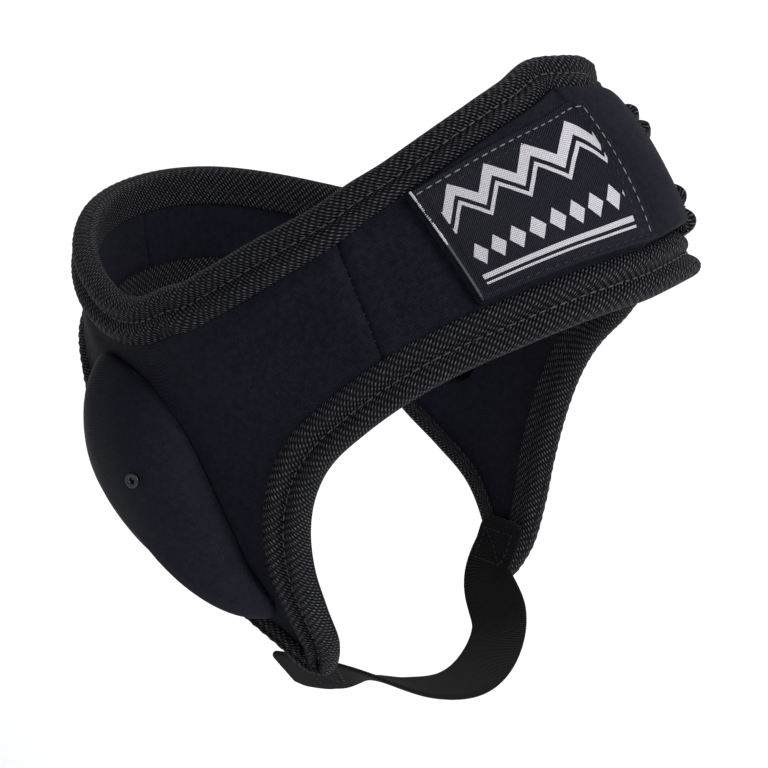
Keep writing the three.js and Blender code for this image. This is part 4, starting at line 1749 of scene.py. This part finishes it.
@dataclass
class ChinStrap:
    """The flat hook and loop strap under the jaw, with a free end on the wearer's right."""

    band: Band
    width: float = 20.0
    thickness: float = 1.5
    corner: float = 4.5
    from_form: float = 4.25
    inner_map: float = 50.0
    bow: float = 0.075
    edge_thinning: float = 0.35
    end_edge: float = 0.02
    box_half: float = 6.5
    stitch_pitch: float = 2.2

    def frame(self, count: int) -> tuple[np.ndarray, ...]:
        """Middles, width directions, outward directions and lengths along the strap.

        Args:
            count: Number of places along it.

        Returns:
            Four arrays.
        """
        form = self.band.form
        inside = []
        for turn, climb, *facing in CHIN_LEFT_ROWS:
            point = form.at(turn, climb, 1)
            inside.append([*(point - form.outward(point) * self.from_form), *facing])
        given = np.array([*CHIN_ROUTE, *inside], float)
        ends = np.array([2 * given[0] - given[1], *given, 2 * given[-1] - given[-2]])
        places = np.linspace(1, len(given), 3000, endpoint=False)
        fine = ClosedCurve(ends[:, :3]).at(places)
        faces = ClosedCurve(ends[:, 3:]).at(places)
        gone = run_lengths(fine)
        turn = np.linspace(0, math.pi / 2, 9)[:-1]
        near = (1 - np.cos(turn)) * self.corner
        lengths = np.concatenate([near, np.linspace(self.corner, gone[-1] - self.corner, count),
                                  gone[-1] - near[::-1]])
        along = unit(sample(np.gradient(fine, axis=0), lengths, gone))
        width = unit(np.cross(along, sample(faces, lengths, gone)))
        return sample(fine, lengths, gone), width, unit(np.cross(width, along)), lengths

    def build(self, material: bpy.types.Material) -> bpy.types.Object:
        """Builds the strap with rounded corners and thin firm edges.

        Args:
            material: Its webbing.

        Returns:
            The finished object.
        """
        middle, width, out, lengths = self.frame(120)
        ends = np.minimum(lengths, lengths[-1] - lengths)
        cut = self.corner - np.sqrt(np.maximum(0.0, self.corner**2 - (
            self.corner - np.minimum(ends, self.corner)) ** 2))
        half = self.width / 2 - cut
        share, thick = Slab(0.6, 4).profile(26, self.width)
        off = np.outer(half, 2 * share - 1)
        grid = middle[:, None] + width[:, None] * off[..., None]
        rim = np.minimum(1.0, np.abs(share - 0.5) * 2)
        body = self.thickness / 2 * thick * (1 - self.edge_thinning * smoothstep(rim, 0.86, 0.92))
        bow = self.bow * np.sin(lengths / 9.0)[:, None]
        closing = np.minimum(1.0, ends / 0.5 + self.end_edge)[:, None]
        maps = np.stack(np.meshgrid(lengths, share * self.width, indexing="ij"), -1)
        draft = MeshDraft()
        high, low = bow + body * closing, bow - body * closing
        top = draft.add_grid(grid + out[:, None] * high[..., None], maps)
        under = draft.add_grid(grid + out[:, None] * low[..., None], maps + self.inner_map,
                               flip=True)
        for row in (0, -1):
            for j in range(len(share) - 1):
                draft.add_face((top[row, j], top[row, j + 1], under[row, j + 1], under[row, j]))
        return draft.finish("chin_strap_webbing", material)

    def sew(self, finishes: "Finishes") -> list[bpy.types.Object]:
        """Sews a box of stitches where the strap is sewn to each tip.

        Args:
            finishes: All finishes.

        Returns:
            The rows of stitches.
        """
        middle, width, out, lengths = self.frame(240)
        rows = []
        spans = {"right": (12.5, 22.5), "left": (lengths[-1] - 15.0, lengths[-1] - 4.5)}
        for word, (low, high) in spans.items():
            half = self.box_half
            corners = [(low, -half), (high, -half), (high, half), (low, half), (low, -half),
                       (high, half)]
            fine = np.concatenate([np.linspace(a, b, 40, endpoint=False)
                                   for a, b in zip(corners, corners[1:])])
            centre = sample(middle, fine[:, 0], lengths)
            over = unit(sample(width, fine[:, 0], lengths))
            away = unit(sample(out, fine[:, 0], lengths))
            for face, sign in (("outer", 1.0), ("inner", -1.0)):
                path = centre + over * fine[:, 1:] + away * (sign * self.thickness * 0.5)
                row = StitchRow(f"chin_stitches_{word}_{face}", length=1.7, width=0.4, height=0.3)
                rows.append(row.follow(path, away * sign, self.stitch_pitch,
                                       finishes.black_thread))
        return rows


# Studio


@dataclass
class Studio:
    """The pale floor, the soft lights and the camera."""

    aim: tuple[float, float, float] = (0.0, 0.0, 0.035)
    azimuth: float = 56.0
    elevation: float = 24.78
    roll: float = -11.23
    distance: float = 0.8839
    focal_pixels: float = 2839.2
    aim_pixel: tuple[float, float] = (367.72, 288.18)
    floor_height: float = -0.26
    floor_size: float = 40.0
    glow_colour: Colour = (0.96, 0.97, 1.0, 1.0)
    glow: float = 0.38

    def camera(self) -> None:
        """Sets up the camera at the photo's angle, turned so that no shift is needed."""
        a, e, r = (math.radians(v) for v in (self.azimuth, self.elevation, self.roll))
        back = Vector((-math.sin(a) * math.cos(e), -math.cos(a) * math.cos(e), math.sin(e)))
        level = Vector((math.cos(a), -math.sin(a), 0.0))
        steep = Vector((math.sin(a) * math.sin(e), math.cos(a) * math.sin(e), math.cos(e)))
        right = math.cos(r) * level - math.sin(r) * steep
        up = math.sin(r) * level + math.cos(r) * steep
        half = FRAME_PIXELS / 2
        over = (self.aim_pixel[0] - half) / self.focal_pixels
        down = (half - self.aim_pixel[1]) / self.focal_pixels
        ahead = (-back - right * over - up * down).normalized()
        up = (up - ahead * up.dot(ahead)).normalized()
        right = ahead.cross(up)
        data = bpy.data.cameras.new("camera")
        data.sensor_width = 36.0
        data.lens = self.focal_pixels / FRAME_PIXELS * data.sensor_width
        obj = add_object("camera", data)
        place = Vector(self.aim) + back * self.distance
        basis = Matrix((right, up, -ahead)).transposed().to_4x4()
        obj.matrix_world = Matrix.Translation(place) @ basis
        bpy.context.scene.camera = obj

    def light(self, name: str, place: tuple[float, float, float], size: float,
              power: float) -> None:
        """Adds a soft square light that looks at the part.

        Args:
            name: Its name.
            place: Where it hangs, in metres.
            size: Its side, in metres.
            power: Its power, in watts.
        """
        data = bpy.data.lights.new(name, "AREA")
        data.shape, data.size, data.energy = "SQUARE", size, power
        turn = (Vector(self.aim) - Vector(place)).to_track_quat("-Z", "Y")
        add_object(name, data).matrix_world = Matrix.LocRotScale(Vector(place), turn, None)

    def sky_light(self, name: str, way: tuple[float, float, float], spread: float,
                  strength: float) -> None:
        """Adds an even light from far away.

        Args:
            name: Its name.
            way: The direction that it comes from.
            spread: How wide it looks, in degrees.
            strength: Its strength, in watts for each square metre.
        """
        data = bpy.data.lights.new(name, "SUN")
        data.angle, data.energy = math.radians(spread), strength
        turn = Vector(way).to_track_quat("Z", "Y")
        add_object(name, data).matrix_world = turn.to_matrix().to_4x4()

    def build(self) -> None:
        """Builds the floor, the world's glow and the lights."""
        bpy.ops.mesh.primitive_plane_add(size=self.floor_size, location=(0, 0, self.floor_height))
        floor = bpy.context.object
        floor.name = "floor"
        floor.data.materials.append(PaleFloor().make())
        world = bpy.data.worlds.new("studio")
        world.use_nodes = True
        ground = world.node_tree.nodes["Background"]
        ground.inputs[0].default_value = self.glow_colour
        ground.inputs[1].default_value = self.glow
        bpy.context.scene.world = world
        bpy.context.scene.view_settings.view_transform = "Standard"
        self.light("front_light", (-0.15, -1.7, 1.25), 0.6, 27.0)
        self.light("side_light", (-1.5, 0.6, 0.75), 0.8, 2.0)
        self.light("rear_light", (1.2, 0.9, 0.7), 0.8, 5.0)
        self.sky_light("top_light", (0.1, -0.7, 1.0), 55.0, 2.0)


# The whole part


@dataclass
class EarGuard:
    """The whole ear guard, piece by piece."""

    band: Band = field(default_factory=Band)
    seam_overlap: float = 0.03
    seam_pitch: float = 2.6
    seam_span: tuple[float, float] = (0.19, 0.81)
    seam_rise: float = 1.15
    label_flat: tuple[float, float] = (0.0415, 0.0637)
    chin_flat: tuple[float, float] = (0.020, 0.1414)
    upper_depths: tuple[tuple[float, float], ...] = ((0, 0.78), (5, 0.78), (9, 1), (25, 1))
    lower_depths: tuple[tuple[float, float], ...] = (
        (0, 1), (12, 1), (15, 0.5), (17, 0.35), (21.5, 0.35), (24, 1), (25, 1))

    def seam_rows(self, finishes: Finishes) -> list[bpy.types.Object]:
        """Sews short stitches over the seams between the panels.

        Args:
            finishes: All finishes.

        Returns:
            The rows of stitches.
        """
        band = self.band
        seams = {"right": band.seam_row, "left": band.left(band.seam_row), "nape": band.nape_row}
        rows = []
        for word, station in seams.items():
            share = np.linspace(*self.seam_span, 200)
            place = np.full(share.shape, float(station))
            ahead = band.across(place + 0.05, share, band.inset, band.wall / 2)
            behind = band.across(place - 0.05, share, band.inset, band.wall / 2)
            for face, rise in (("outer", self.seam_rise), ("inner", -self.seam_rise)):
                path = band.across(place, share, band.inset, rise)
                away = path - band.across(place, share, band.inset, 0.0)
                row = StitchRow(f"seam_stitches_{word}_{face}", length=2.4, width=0.5, height=0.5)
                rows.append(row.follow(path, away, self.seam_pitch, finishes.black_thread,
                                       along=ahead - behind))
        return rows

    def build(self, finishes: Finishes) -> None:
        """Builds and dresses every piece in order.

        Args:
            finishes: All finishes.
        """
        band, over = self.band, self.seam_overlap
        left_seam = band.left(band.seam_row)
        sheets = (
            SidePanel(band, "side_panel_right_knit", band.seam_row - over, band.nape_row + over,
                      side=Side.RIGHT),
            SidePanel(band, "side_panel_left_knit", band.nape_row - over, left_seam + over,
                      side=Side.LEFT),
            NeopreneSheet(band, "front_panel_knit", band.front_panel_end, band.seam_row + over),
            ClosingBand(band, "closing_band_knit", left_seam - over, band.left(band.tongue_row)),
        )
        for sheet in sheets:
            name = sheet.name.removesuffix("_knit")
            piece = dress(sheet.build(finishes.knit), "neoprene", name)
        tapes = (EdgeTape(band, "upper_binding_tape", Edge.UPPER, self.upper_depths),
                 EdgeTape(band, "lower_binding_tape", Edge.LOWER, self.lower_depths))
        for tape in tapes:
            name = tape.name.removesuffix("_tape")
            dress(tape.build(finishes.tape), "tape", name)
            for row in tape.sew(finishes):
                dress(row, "tape")
        for side in Side:
            cup = EarCup(band, side)
            piece = dress(cup.build(finishes.cup), "cup", f"ear_cup_{cup.word}")
            dress(cup.eyelet(finishes.plastic), "eyelet", f"ear_eyelet_{cup.word}")
        strap = FrontStrap(band)
        dress(strap.build(finishes.knit), "neoprene", "front_strap")
        label = dress(strap.build_label(finishes.label), "label", "label_patch")
        rows = [dress(row, "label") for row in strap.sew(finishes)]
        chin = ChinStrap(band)
        webbing = dress(chin.build(finishes.webbing), "webbing", "chin_strap")
        rows = [dress(row, "webbing") for row in chin.sew(finishes)]
        for row in self.seam_rows(finishes):
            dress(row, "neoprene")


def main() -> None:
    """Loads the frame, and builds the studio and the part."""
    logging.basicConfig(level=logging.INFO, format="%(name)s %(message)s")
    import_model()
    studio = Studio()
    studio.camera()
    studio.build()
    EarGuard().build(Finishes())


if __name__ == "__main__":
    main()
